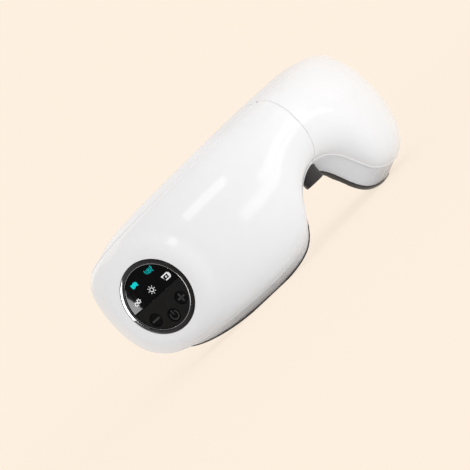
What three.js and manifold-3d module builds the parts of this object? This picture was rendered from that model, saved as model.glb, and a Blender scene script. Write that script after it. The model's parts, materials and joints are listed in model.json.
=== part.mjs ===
import * as THREE from 'three';
import { mergeVertices } from 'three/addons/utils/BufferGeometryUtils.js';
import Module from 'manifold-3d';

// Folding eye massager, in millimetres. X runs to the viewer's right, Y towards the wearer's face
// and Z up. The mask stands on the flats under its two lobes, and X = 0 is the fold.
const wasm = await Module();
wasm.setup();

// Plan of the mask: its turn from straight ahead, in radians, is s / bend + (s / wrap)^3,
// where s is the distance along the plan from the middle of the bridge.
const planBend = 103.4;
const planWrap = 232;
const planStep = 0.5;

// Outline of the white parting line, as control points of a smooth closed spline: the distance
// from the middle, then the height above the table.
const browLevel = 76.2;
const browShoulder = [67, 75];
const browCorner = [123, 73.4];
const templeUpper = [146, 65.4];
const templeLower = [147, 15.9];
const lobeLevel = 4.9;
const lobeOuterLevel = 6.8;
const lobeInnerLevel = 4.5;
const lobeOuterReach = 105.5;
const lobeMiddleReach = 75.3;
const lobeInnerReach = 29.1;
const noseFlank = [21.9, 26.9];
const bridgeLevel = 38.7;
const pointsPerSpan = 5;

// Front dome and the flared wall behind the parting line.
const bridgeCrown = 14.3;
const lobeCrown = 14.6;
const crownPower = 1.85;
const spineReach = 94;
const spineRounding = 6;
const wallDepth = 10.4;
const browFlare = 3.4;
const templeFlare = 2.8;
const lobeFlare = 4.7;
const lobeInnerFlare = 4.5;
const noseFlare = 5.7;
const bridgeFlare = 2.6;
const shellWall = 2.2;
const seamWall = 2;
const gap = 0.3;

// How far a cutter runs past what it cuts, and how far two joined shapes run into each other.
const overrun = 1;
const lap = 0.2;
const domeRings = 7;
const insideRings = 3;
const skinShares = [0.28, 0.6, 0.95];
const floorShares = [0.2, 0.45, 0.7, 0.95];

// Rear frame, a black tray whose lip shows under the white wall.
const frameFloor = 2.2;
const frameDepth = 2.8;
const frameWall = 2;
const browTuck = 0.5;
const lipProud = 0.8;
const lipRound = 0.8;
const noseReliefReach = 19;
const noseReliefStart = 2;

// Soft parts on the face side.
const cushionWidth = 12.5;
const cushionHeight = 14;
const cushionNoseReach = 28.5;
const cushionNoseWidth = 6.5;
const cushionHeel = [37, 7.5];

// The cushion grows from its height at the nose to its full height between two distances.
const cushionNoseHeight = 8;
const cushionRise = [34, 62];

const cushionLift = 0.5;
const cushionPlay = 0.7;
const cushionDraw = 0.06;
const cushionBrowDrop = 10.5;
const cushionNoseLean = 2;
const cushionNoseLift = 6;
const cushionSpan = 5;
const eyeReach = 55;
const eyeLevel = 39.4;
const eyePadHalfWidth = 17;
const eyePadHalfHeight = 18.5;
const eyePadHeight = 6.5;
const eyeHollow = 2.4;
const airbagInset = 3;
const airbagHeight = 4;
const filmInset = 2;
const filmThickness = 0.4;
const templeReach = 103;
const templeLevel = 40;
const templePadHalfWidth = 20;
const templePadHalfHeight = 21;
const templePadHeight = 9;
const padSides = 24;
const innerPadSides = 16;
const padTuck = 1;
const padShoulder = 0.35;

// Fold hinge at the rear of the bridge.
const foldAngle = 75;
const pocketRadius = 6;
const pocketWall = 2.2;
const knuckleRadius = 3.6;
const pinRadius = 1.5;
const pinClearance = 0.25;
const knuckleBottom = 36;
const knuckleTop = 71;
const middleKnuckle = 18;
const leafReach = 19;
const leafThickness = 2;
const hingeDepth = wallDepth - leafThickness / 2;
const leafHeight = 12;
const leafInset = 3;
const capThickness = 3.6;
const lowerCapHeight = 10.2;
const capRoof = 1;
const bootWall = 0.8;
const bootStart = 18;

// Control panel on the left temple.
const panelReach = -104;
const panelLevel = 39.2;
const panelRise = 11.3;
const panelFacing = 67.5;
const panelRadius = 20.1;
const bezelWidth = 2.4;
const bezelProud = 0.7;
const bezelDepth = 7.2;
const seatMargin = 1.4;
const seatBlend = 12;
const bezelLedge = 1;
const bezelInnerSlope = 0.7;
const bezelOuterRound = 0.5;
const windowThickness = 1.6;
const windowSink = 0.5;
const keypadSink = 0.6;
const buttonSink = 0.9;
const buttonRadius = 3.5;
const buttonClearance = 0.2;
const buttonTravel = 0.4;
const buttonHeight = 1.9;
const buttonSpread = 10;
const sideButtonDrop = 8.3;
const powerButtonDrop = 12.4;
const stemRadius = 1.2;
const boardThickness = 1.2;
const boardStandOff = 3.6;
const switchSize = 4;
const switchHeight = 1.4;
const switchKey = 0.5;
const lampWell = 2;

// Parts inside the housing.
const mainBoard = [34, 1.2, 26];
const boardPlace = [46, 42];
const processor = [8, 2, 8];
const driverChip = [7, 1.5, 6];
const batteryCell = [36, 6.5, 24];
const batteryPlace = [104, 46];
const pumpRadius = 7.5;
const pumpPlace = [52, 42];
const pumpMotorLength = 17;
const pumpHeadLength = 12;
const crankRadius = 4.5;
const crankThrow = 1.4;
const crankThickness = 2.2;
const shaftRadius = 1;
const shaftLength = 2;
const throwPinRadius = 1.2;
const throwPinLength = 2;
const galleryDepth = 8;
const nozzleRadius = 1.6;
const nozzleLength = 4;
const portRadius = 0.8;
const valveBody = [9, 8, 10];
const valvePlace = [74, 26];
const plungerRadius = 1.4;
const plungerTravel = 1.2;
const plungerBore = 6;
const plungerProud = 3;
const vibratorRadius = 3.5;
const vibratorPlace = [66, 60];
const vibratorLength = 11;
const weightRadius = 3;
const weightLength = 4;
const weightHub = 1.4;
const weightOffset = 0.6;
const vibratorShaft = 0.8;
const socketBody = [9, 3.4, 7];
const socketReach = 78;
const socketMouth = [8, 2.4, 5.8];
const speakerRadius = 8;
const speakerPlace = [72, 20];
const speakerHeight = 4;
const screwRadius = 1.2;
const screwHeadRadius = 2.2;
const screwHeadHeight = 1.3;
const screwLength = 5.6;
const bossRadius = 3.2;
const bossStart = 3;
const ribThickness = 1.6;

const white = new THREE.MeshStandardMaterial({ color: 0xf4f3f2, roughness: 0.16, metalness: 0 });
const blackPlastic = new THREE.MeshStandardMaterial({ color: 0x1d1e20, roughness: 0.45, metalness: 0 });
const leather = new THREE.MeshStandardMaterial({ color: 0x232427, roughness: 0.6, metalness: 0 });
const fabric = new THREE.MeshStandardMaterial({ color: 0x4b4d52, roughness: 0.9, metalness: 0 });
const rubber = new THREE.MeshStandardMaterial({ color: 0x161618, roughness: 0.7, metalness: 0 });
const film = new THREE.MeshStandardMaterial({ color: 0x9aa0a6, roughness: 0.5, metalness: 0 });
const blackMetal = new THREE.MeshStandardMaterial({ color: 0x2a2b2e, roughness: 0.22, metalness: 0.8 });
const darkGlass = new THREE.MeshStandardMaterial({ color: 0x050506, roughness: 0.05, metalness: 0 });
const keypadBlack = new THREE.MeshStandardMaterial({ color: 0x2a2a2b, roughness: 0.5, metalness: 0 });
const buttonBlack = new THREE.MeshStandardMaterial({ color: 0x101011, roughness: 0.4, metalness: 0 });
const guideWhite = new THREE.MeshStandardMaterial({ color: 0xd8d8d2, roughness: 0.5, metalness: 0 });
const boardGreen = new THREE.MeshStandardMaterial({ color: 0x1f5a38, roughness: 0.5, metalness: 0 });
const steel = new THREE.MeshStandardMaterial({ color: 0xb9bcc0, roughness: 0.3, metalness: 1 });
const cellSilver = new THREE.MeshStandardMaterial({ color: 0xa9adb2, roughness: 0.4, metalness: 0.6 });
const brass = new THREE.MeshStandardMaterial({ color: 0xb08d4a, roughness: 0.35, metalness: 1 });

const massager = new THREE.Group();
massager.name = 'eye_massager';

const radians = THREE.MathUtils.degToRad;

// Plan curve

function turnAt(s) {
  return s / planBend + (s / planWrap) ** 3;
}

const planTable = [[0, 0]];
for (let s = planStep; s <= templeLower[0] + 4 * wallDepth; s += planStep) {
  const [x, y] = planTable.at(-1);
  const middle = turnAt(s - planStep / 2);
  planTable.push([x + planStep * Math.cos(middle), y + planStep * Math.sin(middle)]);
}

// A point of the mask: s along the plan, z up and h out of the plan curve, away from the face.
function maskPoint(s, z, h) {
  const along = Math.abs(s) / planStep;
  const i = Math.min(Math.floor(along), planTable.length - 2);
  const [x0, y0] = planTable[i];
  const [x1, y1] = planTable[i + 1];
  const turn = turnAt(Math.abs(s));
  const x = x0 + (x1 - x0) * (along - i) + h * Math.sin(turn);
  const y = y0 + (y1 - y0) * (along - i) - h * Math.cos(turn);
  return new THREE.Vector3(s < 0 ? -x : x, y, z);
}

// Local frame on the mask: X along the plan, Y towards the face and Z up.
function station(s, z, h) {
  const frame = new THREE.Matrix4().makeRotationZ(turnAt(s));
  return frame.setPosition(maskPoint(s, z, h));
}

// Outlines

function closedSpline(controls, spans) {
  const points = [];
  const count = controls.length;
  for (let i = 0; i < count; i++) {
    const [a, b, c, d] = [-1, 0, 1, 2].map((k) => controls[(i + k + count) % count]);
    for (let j = 0; j < spans; j++) {
      const t = j / spans;
      const weights = [(1 - t) ** 3, 3 * t ** 3 - 6 * t ** 2 + 4];
      weights.push(-3 * t ** 3 + 3 * t ** 2 + 3 * t + 1, t ** 3);
      const s = (weights[0] * a[0] + weights[1] * b[0] + weights[2] * c[0] + weights[3] * d[0]) / 6;
      const z = (weights[0] * a[1] + weights[1] * b[1] + weights[2] * c[1] + weights[3] * d[1]) / 6;
      points.push([s, z]);
    }
  }
  return points;
}

// Moves every point of a closed clockwise outline outwards by its own distance.
function offsetOutline(outline, distance) {
  const count = outline.length;
  return outline.map(([s, z], i) => {
    const [s0, z0] = outline[(i + count - 1) % count];
    const [s1, z1] = outline[(i + 1) % count];
    const length = Math.hypot(s1 - s0, z1 - z0);
    const move = typeof distance === 'number' ? distance : distance[i];
    return [s - (z1 - z0) / length * move, z + (s1 - s0) / length * move];
  });
}

const halfControls = [
  browShoulder,
  browCorner,
  templeUpper,
  templeLower,
  [lobeOuterReach, lobeOuterLevel],
  [lobeMiddleReach, lobeLevel],
  [lobeInnerReach, lobeInnerLevel],
  noseFlank,
];
const halfFlares = [browFlare, browFlare, templeFlare, templeFlare, lobeFlare];
halfFlares.push(lobeFlare, lobeInnerFlare, noseFlare);
const halfLips = [-browTuck, -browTuck, 0, lipProud, lipProud, lipProud, lipProud, lipProud];

function mirrored(list, first, last, flip) {
  return [first, ...list, last, ...list.map(flip).reverse()];
}

const beadControls = mirrored(halfControls, [0, browLevel], [0, bridgeLevel], ([s, z]) => [-s, z]);
const flares = mirrored(halfFlares, browFlare, bridgeFlare, (f) => f);
const lips = mirrored(halfLips, -browTuck, lipProud, (f) => f);
const wallControls = offsetOutline(beadControls, flares);
const lipControls = offsetOutline(wallControls, lips);
const beadOutline = closedSpline(beadControls, pointsPerSpan);
const wallOutline = closedSpline(wallControls, pointsPerSpan);
const lipOutline = closedSpline(lipControls, pointsPerSpan);

// Height of an outline at a distance along the plan, on its upper or lower side.
function levelAt(outline, s, upper) {
  let best = upper ? -Infinity : Infinity;
  for (let i = 0; i < outline.length; i++) {
    const [s0, z0] = outline[i];
    const [s1, z1] = outline[(i + 1) % outline.length];
    if ((s0 - s) * (s1 - s) > 0 || s0 === s1) continue;
    const z = z0 + (z1 - z0) * (s - s0) / (s1 - s0);
    best = upper ? Math.max(best, z) : Math.min(best, z);
  }
  return best;
}

// The spine point that each point of the mask's outline runs to, midway up the mask.
function spineOf(outline) {
  return outline.map(([s]) => {
    const x = s / spineReach;
    const along = s / (1 + Math.abs(x) ** spineRounding) ** (1 / spineRounding);
    return [along, (levelAt(outline, along, true) + levelAt(outline, along, false)) / 2];
  });
}

function crownAt(s) {
  const t = THREE.MathUtils.smoothstep(Math.abs(s), 10, 60);
  return bridgeCrown + (lobeCrown - bridgeCrown) * t;
}

function crownProfile(share) {
  return (1 - (1 - share) ** crownPower) ** (1 / crownPower);
}

// Faces that close a ring, zipped between its upper and lower side from left to right.
function zipFaces(plane) {
  const count = plane.length;
  const reach = plane.map(([s]) => s);
  const left = reach.indexOf(Math.min(...reach));
  const right = reach.indexOf(Math.max(...reach));
  const walk = (step) => {
    const chain = [left];
    while (chain.at(-1) !== right) chain.push((chain.at(-1) + step + count) % count);
    return chain;
  };
  const upper = walk(1);
  const lower = walk(-1);
  const faces = [];
  let a = 0;
  let b = 0;
  while (a < upper.length - 1 || b < lower.length - 1) {
    const upperLeads = a < upper.length - 1 && reach[upper[a + 1]] < reach[lower[b + 1]];
    const upperNext = b === lower.length - 1 || upperLeads;
    const face = upperNext ? [upper[a], upper[a + 1], lower[b]] : [lower[b + 1], lower[b], upper[a]];
    if (new Set(face).size === 3) faces.push(face);
    if (upperNext) a += 1;
    else b += 1;
  }
  return faces;
}

// Closed geometry from rings of points, whose two ends are zipped up.
function ringGeometry(rings, endPlanes) {
  const count = rings[0].length;
  const positions = rings.flat().flatMap((p) => [p.x, p.y, p.z]);
  const index = [];
  for (let r = 0; r + 1 < rings.length; r++) {
    for (let i = 0; i < count; i++) {
      const a = r * count + i;
      const b = r * count + (i + 1) % count;
      index.push(a, b, a + count, b, b + count, a + count);
    }
  }
  const last = (rings.length - 1) * count;
  for (const [p, q, r] of zipFaces(endPlanes[0])) index.push(p, r, q);
  for (const [p, q, r] of zipFaces(endPlanes[1])) index.push(last + p, last + q, last + r);
  const geometry = new THREE.BufferGeometry();
  geometry.setAttribute('position', new THREE.Float32BufferAttribute(positions, 3));
  geometry.setIndex(index);
  return faceOut(geometry);
}

function signedVolume(geometry) {
  const p = geometry.attributes.position;
  const [a, b, c] = [0, 1, 2].map(() => new THREE.Vector3());
  let volume = 0;
  for (let i = 0; i < geometry.index.count; i += 3) {
    a.fromBufferAttribute(p, geometry.index.getX(i));
    b.fromBufferAttribute(p, geometry.index.getX(i + 1));
    c.fromBufferAttribute(p, geometry.index.getX(i + 2));
    volume += a.dot(b.cross(c)) / 6;
  }
  return volume;
}

function faceOut(geometry) {
  if (signedVolume(geometry) < 0) {
    const index = geometry.index.array;
    for (let i = 0; i < index.length; i += 3) {
      [index[i], index[i + 1]] = [index[i + 1], index[i]];
    }
  }
  return geometry;
}

// A body on the mask. Its side rings run from front to back, each an outline with its height,
// and its front and back skins close in from the first and last ring towards the spine.
function maskBody(side, spine, frontSkin, backSkin, place = maskPoint) {
  const skinRings = (ring, skin) => skin.shares.map((share) => ring.outline.map(([s, z], i) => {
    const ss = s + (spine[i][0] - s) * share;
    const zz = z + (spine[i][1] - z) * share;
    return { flat: [ss, zz], point: place(ss, zz, skin.height(ss, share)) };
  }));
  const front = skinRings(side[0], frontSkin).reverse();
  const back = skinRings(side.at(-1), backSkin);
  const middle = side.map(({ outline, height }) => outline.map(([s, z]) => place(s, z, height)));
  const points = (ring) => ring.map((q) => q.point);
  const rings = [...front.map(points), ...middle, ...back.map(points)];
  const endPlanes = [front[0].map((q) => q.flat), back.at(-1).map((q) => q.flat)];
  return ringGeometry(rings, endPlanes);
}

function level(height, shares = skinShares) {
  return { shares, height: () => height };
}

function shares(count) {
  return Array.from({ length: count }, (_, k) => 0.95 * (1 - Math.cos((k + 1) / count * Math.PI / 2)));
}

// Joins and cuts

function solid(geometry, matrix) {
  const bare = geometry.clone();
  bare.deleteAttribute('normal');
  bare.deleteAttribute('uv');
  if (matrix) bare.applyMatrix4(matrix);
  const merged = mergeVertices(bare, 1e-4);
  const vertProperties = new Float32Array(merged.attributes.position.array);
  const triVerts = new Uint32Array(merged.index.array);
  return new wasm.Manifold(new wasm.Mesh({ numProp: 3, vertProperties, triVerts }));
}

function geometryOf(manifold) {
  const { vertProperties, triVerts } = manifold.getMesh();
  const geometry = new THREE.BufferGeometry();
  geometry.setAttribute('position', new THREE.BufferAttribute(vertProperties, 3));
  geometry.setIndex(new THREE.BufferAttribute(triVerts, 1));
  return geometry;
}

function box(x0, x1, y0, y1, z0, z1, matrix) {
  const geometry = new THREE.BoxGeometry(x1 - x0, y1 - y0, z1 - z0);
  geometry.translate((x0 + x1) / 2, (y0 + y1) / 2, (z0 + z1) / 2);
  return solid(geometry, matrix);
}

// A cylinder along Z, from z0 to z1.
function rod(radius, z0, z1, segments = 24, matrix = undefined) {
  const geometry = new THREE.CylinderGeometry(radius, radius, z1 - z0, segments);
  geometry.rotateX(Math.PI / 2);
  geometry.translate(0, 0, (z0 + z1) / 2);
  return solid(geometry, matrix);
}

function shifted(x, y, z) {
  return new THREE.Matrix4().makeTranslation(x, y, z);
}

function add(name, shape, material, matrix) {
  const geometry = shape.isBufferGeometry ? shape : geometryOf(shape);
  const mesh = new THREE.Mesh(geometry, material);
  mesh.name = name;
  if (matrix) mesh.applyMatrix4(matrix);
  massager.add(mesh);
  return mesh;
}

const far = 400;
const sides = { left: -1, right: 1 };

function halfSpace(side) {
  const inner = gap / 2;
  return side < 0 ? box(-far, -inner, -far, far, -far, far) : box(inner, far, -far, far, -far, far);
}

function onSide(body, side) {
  return body.intersect(halfSpace(side));
}

// Panel frame: X to the viewer's right, Y up the panel and Z out of it.
const panelOrigin = maskPoint(panelReach, panelLevel, panelRise);
const panelFrame = new THREE.Matrix4().makeBasis(
  new THREE.Vector3(Math.cos(radians(panelFacing)), -Math.sin(radians(panelFacing)), 0),
  new THREE.Vector3(0, 0, 1),
  new THREE.Vector3(-Math.sin(radians(panelFacing)), -Math.cos(radians(panelFacing)), 0),
).setPosition(panelOrigin);
const panelBack = panelFrame.clone().invert();

// The dome is drawn flat to the panel's plane around the panel.
function seated(point, depth) {
  const local = point.clone().applyMatrix4(panelBack);
  const radius = Math.hypot(local.x, local.y);
  const seatRadius = panelRadius + seatMargin;
  const flat = 1 - THREE.MathUtils.smoothstep(radius, seatRadius, seatRadius + seatBlend);
  if (point.x > 0 || local.z < -3 * shellWall - depth) return point;
  local.z += (-depth - local.z) * flat;
  return local.applyMatrix4(panelFrame);
}

// Housing

function frontDome(outline, inset, rings, depths) {
  const height = (s, share) => (crownAt(s) - inset) * crownProfile(share);
  const place = (s, z, h) => (h > 0 ? seated(maskPoint(s, z, h), inset) : maskPoint(s, z, h));
  const side = depths.map((depth) => ({ outline, height: -depth }));
  return maskBody(side, spineOf(outline), { shares: shares(rings), height }, level(-depths.at(-1)), place);
}

const hingeAxis = shifted(0, hingeDepth, 0);
const seamBlock = box(-seamWall, seamWall, -far, far, -far, far);
const pocketSleeve = rod(pocketRadius + pocketWall, -far, far, 32, hingeAxis);
const pocketTop = knuckleTop + capThickness + 2 * gap;
const bezelHoleDepth = bezelDepth + 2 * overrun;
const bezelHole = rod(panelRadius + gap, -bezelHoleDepth, panelRise / 2, 36, panelFrame);

// Everything behind the pin that would meet the other half when the mask is folded.
function foldRelief(side) {
  const lean = new THREE.Matrix4().makeRotationZ(side * radians(90 - foldAngle / 2));
  return box(-far, far, -gap, far, -far, far, hingeAxis.clone().multiply(lean));
}

function frontCovers() {
  const outside = solid(frontDome(beadOutline, 0, domeRings, [0]));
  const insideOutline = offsetOutline(beadOutline, -shellWall);
  const inside = solid(frontDome(insideOutline, shellWall, insideRings, [0, wallDepth]));
  const covers = outside.subtract(inside.subtract(seamBlock)).subtract(bezelHole);
  for (const [word, side] of Object.entries(sides)) {
    add(`front_cover_${word}`, onSide(covers, side), white);
  }
}

function leafSlot(side, bottom, top) {
  const half = leafThickness / 2 + gap;
  const reach = side * (pocketRadius + pocketWall + overrun);
  const [x0, x1] = [Math.min(0, reach), Math.max(0, reach)];
  return box(x0, x1, hingeDepth - half, hingeDepth + half, bottom - gap, top + gap);
}

function rimFrames() {
  const start = -gap;
  const side = [{ outline: beadOutline, height: start }, { outline: wallOutline, height: -wallDepth }];
  const outside = solid(maskBody(side, spineOf(wallOutline), level(start), level(-wallDepth)));
  const insideFront = offsetOutline(beadOutline, -shellWall);
  const insideBack = offsetOutline(wallOutline, -shellWall);
  const end = -wallDepth - overrun;
  const bore = [{ outline: insideFront, height: overrun }, { outline: insideBack, height: end }];
  const inside = solid(maskBody(bore, spineOf(insideBack), level(overrun), level(end)));
  const hollow = inside.subtract(seamBlock).subtract(pocketSleeve);
  const slots = leafSlot(-1, ...leftLeaf).add(leafSlot(1, ...rightLeaf));
  const pocket = rod(pocketRadius, -far, pocketTop, 32, hingeAxis);
  const socketCut = socketBlock(socketBody, gap, -far, socketBody[2]);
  const frames = outside.subtract(hollow).subtract(pocket).subtract(slots).subtract(socketCut);
  for (const [word, half] of Object.entries(sides)) {
    let frame = onSide(frames, half).subtract(foldRelief(half));
    for (const [place, lean] of screwStations(half)) {
      frame = frame.add(bossPost(place, half * lean).intersect(outside)).subtract(bossBore(place));
    }
    add(`rim_frame_${word}`, frame, white);
  }
}

// Screw places on one half: distance along the plan, height and the way its rib leans to the wall.
const screwPlaces = [[31, 69, 0], [126, 61, 30], [98, 13, 180]];

// Frames whose Z runs along a screw, towards the face.
function screwStations(side) {
  const lie = new THREE.Matrix4().makeRotationX(-Math.PI / 2);
  return screwPlaces.map(([s, z, lean]) => [station(side * s, z, 0).multiply(lie), lean]);
}

function bossPost(place, lean) {
  const rib = box(-ribThickness / 2, ribThickness / 2, -3 * bossRadius, 0, bossStart, wallDepth);
  const turned = place.clone().multiply(new THREE.Matrix4().makeRotationZ(radians(lean)));
  return rod(bossRadius, bossStart, wallDepth, 12).add(rib).transform(turned.elements);
}

function bossBore(place) {
  return rod(screwRadius + gap, wallDepth - screwLength, wallDepth + overrun, 8, place);
}

const floorFront = wallDepth + gap;
const floorBack = floorFront + frameFloor;

function rearFrames() {
  const back = floorFront + frameDepth;
  const side = [floorFront, back - lipRound].map((depth) => ({ outline: lipOutline, height: -depth }));
  side.push({ outline: offsetOutline(lipOutline, -lipRound), height: -back });
  const outside = solid(maskBody(side, spineOf(lipOutline), level(-floorFront), level(-back)));
  const trayOutline = offsetOutline(lipOutline, -frameWall);
  const end = -back - overrun;
  const tray = [{ outline: trayOutline, height: -floorBack }, { outline: trayOutline, height: end }];
  const inside = solid(maskBody(tray, spineOf(trayOutline), level(-floorBack, floorShares), level(end)));
  const table = box(-far, far, -far, far, -far, 0);
  const noseRelief = box(-noseReliefReach, noseReliefReach, floorBack + noseReliefStart, far, -far, far);
  const pocket = rod(pocketRadius, -far, far, 32, hingeAxis);
  const frames = outside.subtract(inside).subtract(pocket).subtract(table).subtract(noseRelief);
  for (const [word, half] of Object.entries(sides)) {
    let frame = onSide(frames, half).subtract(foldRelief(half));
    for (const [place] of screwStations(half)) {
      frame = frame.subtract(rod(screwRadius + gap, wallDepth - overrun, floorBack + overrun, 8, place));
      frame = frame.subtract(rod(screwHeadRadius + gap, floorBack - screwHeadHeight - gap, far, 10, place));
    }
    add(`rear_frame_${word}`, frame, blackPlastic);
  }
}

function screws() {
  for (const [word, half] of Object.entries(sides)) {
    screwStations(half).forEach(([place], i) => {
      const shank = rod(screwRadius, wallDepth - screwLength + overrun, floorBack - screwHeadHeight + lap, 8);
      const head = rod(screwHeadRadius, floorBack - screwHeadHeight, floorBack - gap / 2, 10);
      add(`frame_screw_${word}_${i + 1}`, shank.add(head), steel, place);
    });
  }
}

// Soft parts

// Closed outline of one half's face cushion, drawn from the rear frame's tray.
function cushionControls(share) {
  const inset = share * cushionWidth;
  const lobe = offsetOutline(lipControls, -frameWall - cushionPlay - inset).slice(1, 7);
  const nose = cushionNoseReach + share * cushionNoseWidth;
  const upper = [nose, browLevel - cushionBrowDrop - inset];
  const heel = [cushionHeel[0] + share * cushionNoseWidth, cushionHeel[1] + inset];
  const lower = [nose + cushionNoseLean, noseFlank[1] + cushionNoseLift + inset / 2];
  return [upper, ...lobe, heel, lower];
}

function faceCushion(side) {
  const outer = closedSpline(cushionControls(0), cushionSpan);
  const inner = closedSpline(cushionControls(1), cushionSpan);
  const base = floorBack + cushionLift;
  const section = [[cushionDraw, 0], [0, 0.3], [0.02, 0.62], [0.16, 0.9], [0.38, 1], [0.62, 0.99]];
  section.push([0.85, 0.86], [0.98, 0.55], [1, 0.25], [1 - cushionDraw, 0]);
  const rings = outer.map(([s, z], i) => section.map(([across, rise]) => {
    const ss = s + (inner[i][0] - s) * across;
    const zz = z + (inner[i][1] - z) * across;
    const t = THREE.MathUtils.smoothstep(s, ...cushionRise);
    const height = cushionNoseHeight + (cushionHeight - cushionNoseHeight) * t;
    return maskPoint(side * ss, zz, -base - rise * height);
  }));
  return closedLoop(rings);
}

// A ring of sections that closes on itself.
function closedLoop(rings) {
  const count = rings[0].length;
  const positions = rings.flat().flatMap((p) => [p.x, p.y, p.z]);
  const index = [];
  for (let r = 0; r < rings.length; r++) {
    const next = (r + 1) % rings.length;
    for (let i = 0; i < count; i++) {
      const a = r * count + i;
      const b = r * count + (i + 1) % count;
      const c = next * count + i;
      const d = next * count + (i + 1) % count;
      index.push(a, b, c, b, d, c);
    }
  }
  const geometry = new THREE.BufferGeometry();
  geometry.setAttribute('position', new THREE.Float32BufferAttribute(positions, 3));
  geometry.setIndex(index);
  return faceOut(geometry);
}

function oval(s, z, halfWidth, halfHeight, count) {
  return Array.from({ length: count }, (_, i) => {
    const angle = i / count * 2 * Math.PI;
    return [s + halfWidth * Math.sin(angle), z + halfHeight * Math.cos(angle)];
  });
}

// A pad on the mask's face side with a crowned back, whose centre may be hollowed.
function ovalPad(side, centre, halfSize, base, rise, hollow, count = padSides) {
  const place = (s, z, h) => maskPoint(side * s, z, h);
  const outline = oval(...centre, ...halfSize, count);
  const spine = outline.map(() => centre);
  const tuck = oval(...centre, halfSize[0] - padTuck, halfSize[1] - padTuck, count);
  const crowned = (s, share) => {
    const dish = hollow * THREE.MathUtils.smoothstep(share, 0.45, 1);
    const crown = Math.sin(Math.min(1, share * 1.7) * Math.PI / 2);
    return -base - rise * (padShoulder + (1 - padShoulder) * crown) + dish;
  };
  const rings = [{ outline: tuck, height: -base }, { outline, height: -base - rise * padShoulder }];
  const skin = { shares: [0.15, 0.4, 0.7, 0.95], height: crowned };
  return maskBody(rings, spine, level(-base, flatShares), skin, place);
}

// A thin heating film that lies along the mask at one height.
function filmSheet(side, centre, halfSize, base) {
  const place = (s, z, h) => maskPoint(side * s, z, h);
  const outline = oval(...centre, ...halfSize, innerPadSides);
  const rings = [base, base + filmThickness].map((depth) => ({ outline, height: -depth }));
  const spine = outline.map(() => centre);
  return maskBody(rings, spine, level(-base, flatShares), level(-base - filmThickness, flatShares), place);
}

const flatShares = [0.5, 0.95];
const padBase = floorBack + gap;
const filmBase = padBase + airbagHeight + gap;
const eyeBase = filmBase + filmThickness + gap;

function softParts() {
  for (const [word, side] of Object.entries(sides)) {
    add(`face_cushion_${word}`, faceCushion(side), leather);
    const eye = [eyeReach, eyeLevel];
    const eyeHalf = [eyePadHalfWidth, eyePadHalfHeight];
    const bagHalf = eyeHalf.map((size) => size - airbagInset);
    add(`airbag_${word}`, ovalPad(side, eye, bagHalf, padBase, airbagHeight, 0, innerPadSides), rubber);
    const filmHalf = eyeHalf.map((size) => size - filmInset);
    add(`heating_film_${word}`, filmSheet(side, eye, filmHalf, filmBase), film);
    add(`eye_pad_${word}`, ovalPad(side, eye, eyeHalf, eyeBase, eyePadHeight, eyeHollow), fabric);
    const temple = [templeReach, templeLevel];
    const templeHalf = [templePadHalfWidth, templePadHalfHeight];
    add(`temple_pad_${word}`, ovalPad(side, temple, templeHalf, padBase, templePadHeight, 0), fabric);
  }
}

// Fold hinge

const hingeMiddle = (knuckleBottom + knuckleTop) / 2;
const rightKnuckle = [hingeMiddle - middleKnuckle / 2 + gap, hingeMiddle + middleKnuckle / 2 - gap];
const rightLeaf = [hingeMiddle - leafHeight / 2, hingeMiddle + leafHeight / 2];
const lowerKnuckle = [knuckleBottom, hingeMiddle - middleKnuckle / 2];
const upperKnuckle = [hingeMiddle + middleKnuckle / 2, knuckleTop];
const leftLeaf = [knuckleBottom + leafInset, knuckleTop - leafInset];

function leafPlate(side, bottom, top) {
  const x0 = side * (knuckleRadius - overrun);
  const x1 = side * leafReach;
  const half = leafThickness / 2;
  return box(Math.min(x0, x1), Math.max(x0, x1), hingeDepth - half, hingeDepth + half, bottom, top);
}

function hinge() {
  const bore = rod(pinRadius + pinClearance, -far, far, 16, hingeAxis);
  const lower = rod(knuckleRadius, ...lowerKnuckle, 20, hingeAxis);
  const upper = rod(knuckleRadius, ...upperKnuckle, 20, hingeAxis);
  const clearMiddle = rod(knuckleRadius + gap, lowerKnuckle[1], upperKnuckle[0], 20, hingeAxis);
  const left = leafPlate(-1, ...leftLeaf).subtract(clearMiddle).add(lower).add(upper).subtract(bore);
  add('hinge_leaf_left', left, steel);
  const middle = rod(knuckleRadius, ...rightKnuckle, 20, hingeAxis);
  const right = leafPlate(1, ...rightLeaf).add(middle).subtract(bore);
  add('hinge_leaf_right', right, steel);
  const capBottom = knuckleBottom - gap - lowerCapHeight;
  const bottomEnd = capBottom + capRoof;
  const topEnd = knuckleTop + gap + capThickness - capRoof;
  add('hinge_pin', rod(pinRadius, bottomEnd, topEnd, 16), steel, hingeAxis);
  const capRadius = pocketRadius - gap;
  const socket = rod(pinRadius + pinClearance, bottomEnd - pinClearance, topEnd + pinClearance, 16);
  const cap = (bottom, height) => rod(capRadius, bottom, bottom + height, 28).subtract(socket);
  add('hinge_cap_lower', cap(capBottom, lowerCapHeight), blackPlastic, hingeAxis);
  add('hinge_cap_upper', cap(knuckleTop + gap, capThickness), blackPlastic, hingeAxis);
  add('hinge_boot', hingeBoot(capRadius), rubber, hingeAxis);
}

// Half sleeve of soft rubber round the back of the knuckles.
function hingeBoot(radius) {
  const start = radians(bootStart);
  const end = Math.PI - start;
  const shape = new THREE.Shape();
  shape.absarc(0, 0, radius, start, end, false);
  shape.absarc(0, 0, radius - bootWall, end, start, true);
  const depth = knuckleTop - knuckleBottom - 2 * gap;
  const geometry = new THREE.ExtrudeGeometry(shape, { depth, bevelEnabled: false, curveSegments: 12 });
  geometry.translate(0, 0, knuckleBottom + gap);
  return solid(geometry);
}

// Control panel

const bezelInner = panelRadius - bezelWidth;
const plateRadius = bezelInner - gap / 2;
const windowFront = bezelProud - windowSink;
const windowBack = windowFront - windowThickness;
const ledgeFront = windowBack - gap;
const boardFront = ledgeFront - boardStandOff;

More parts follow.
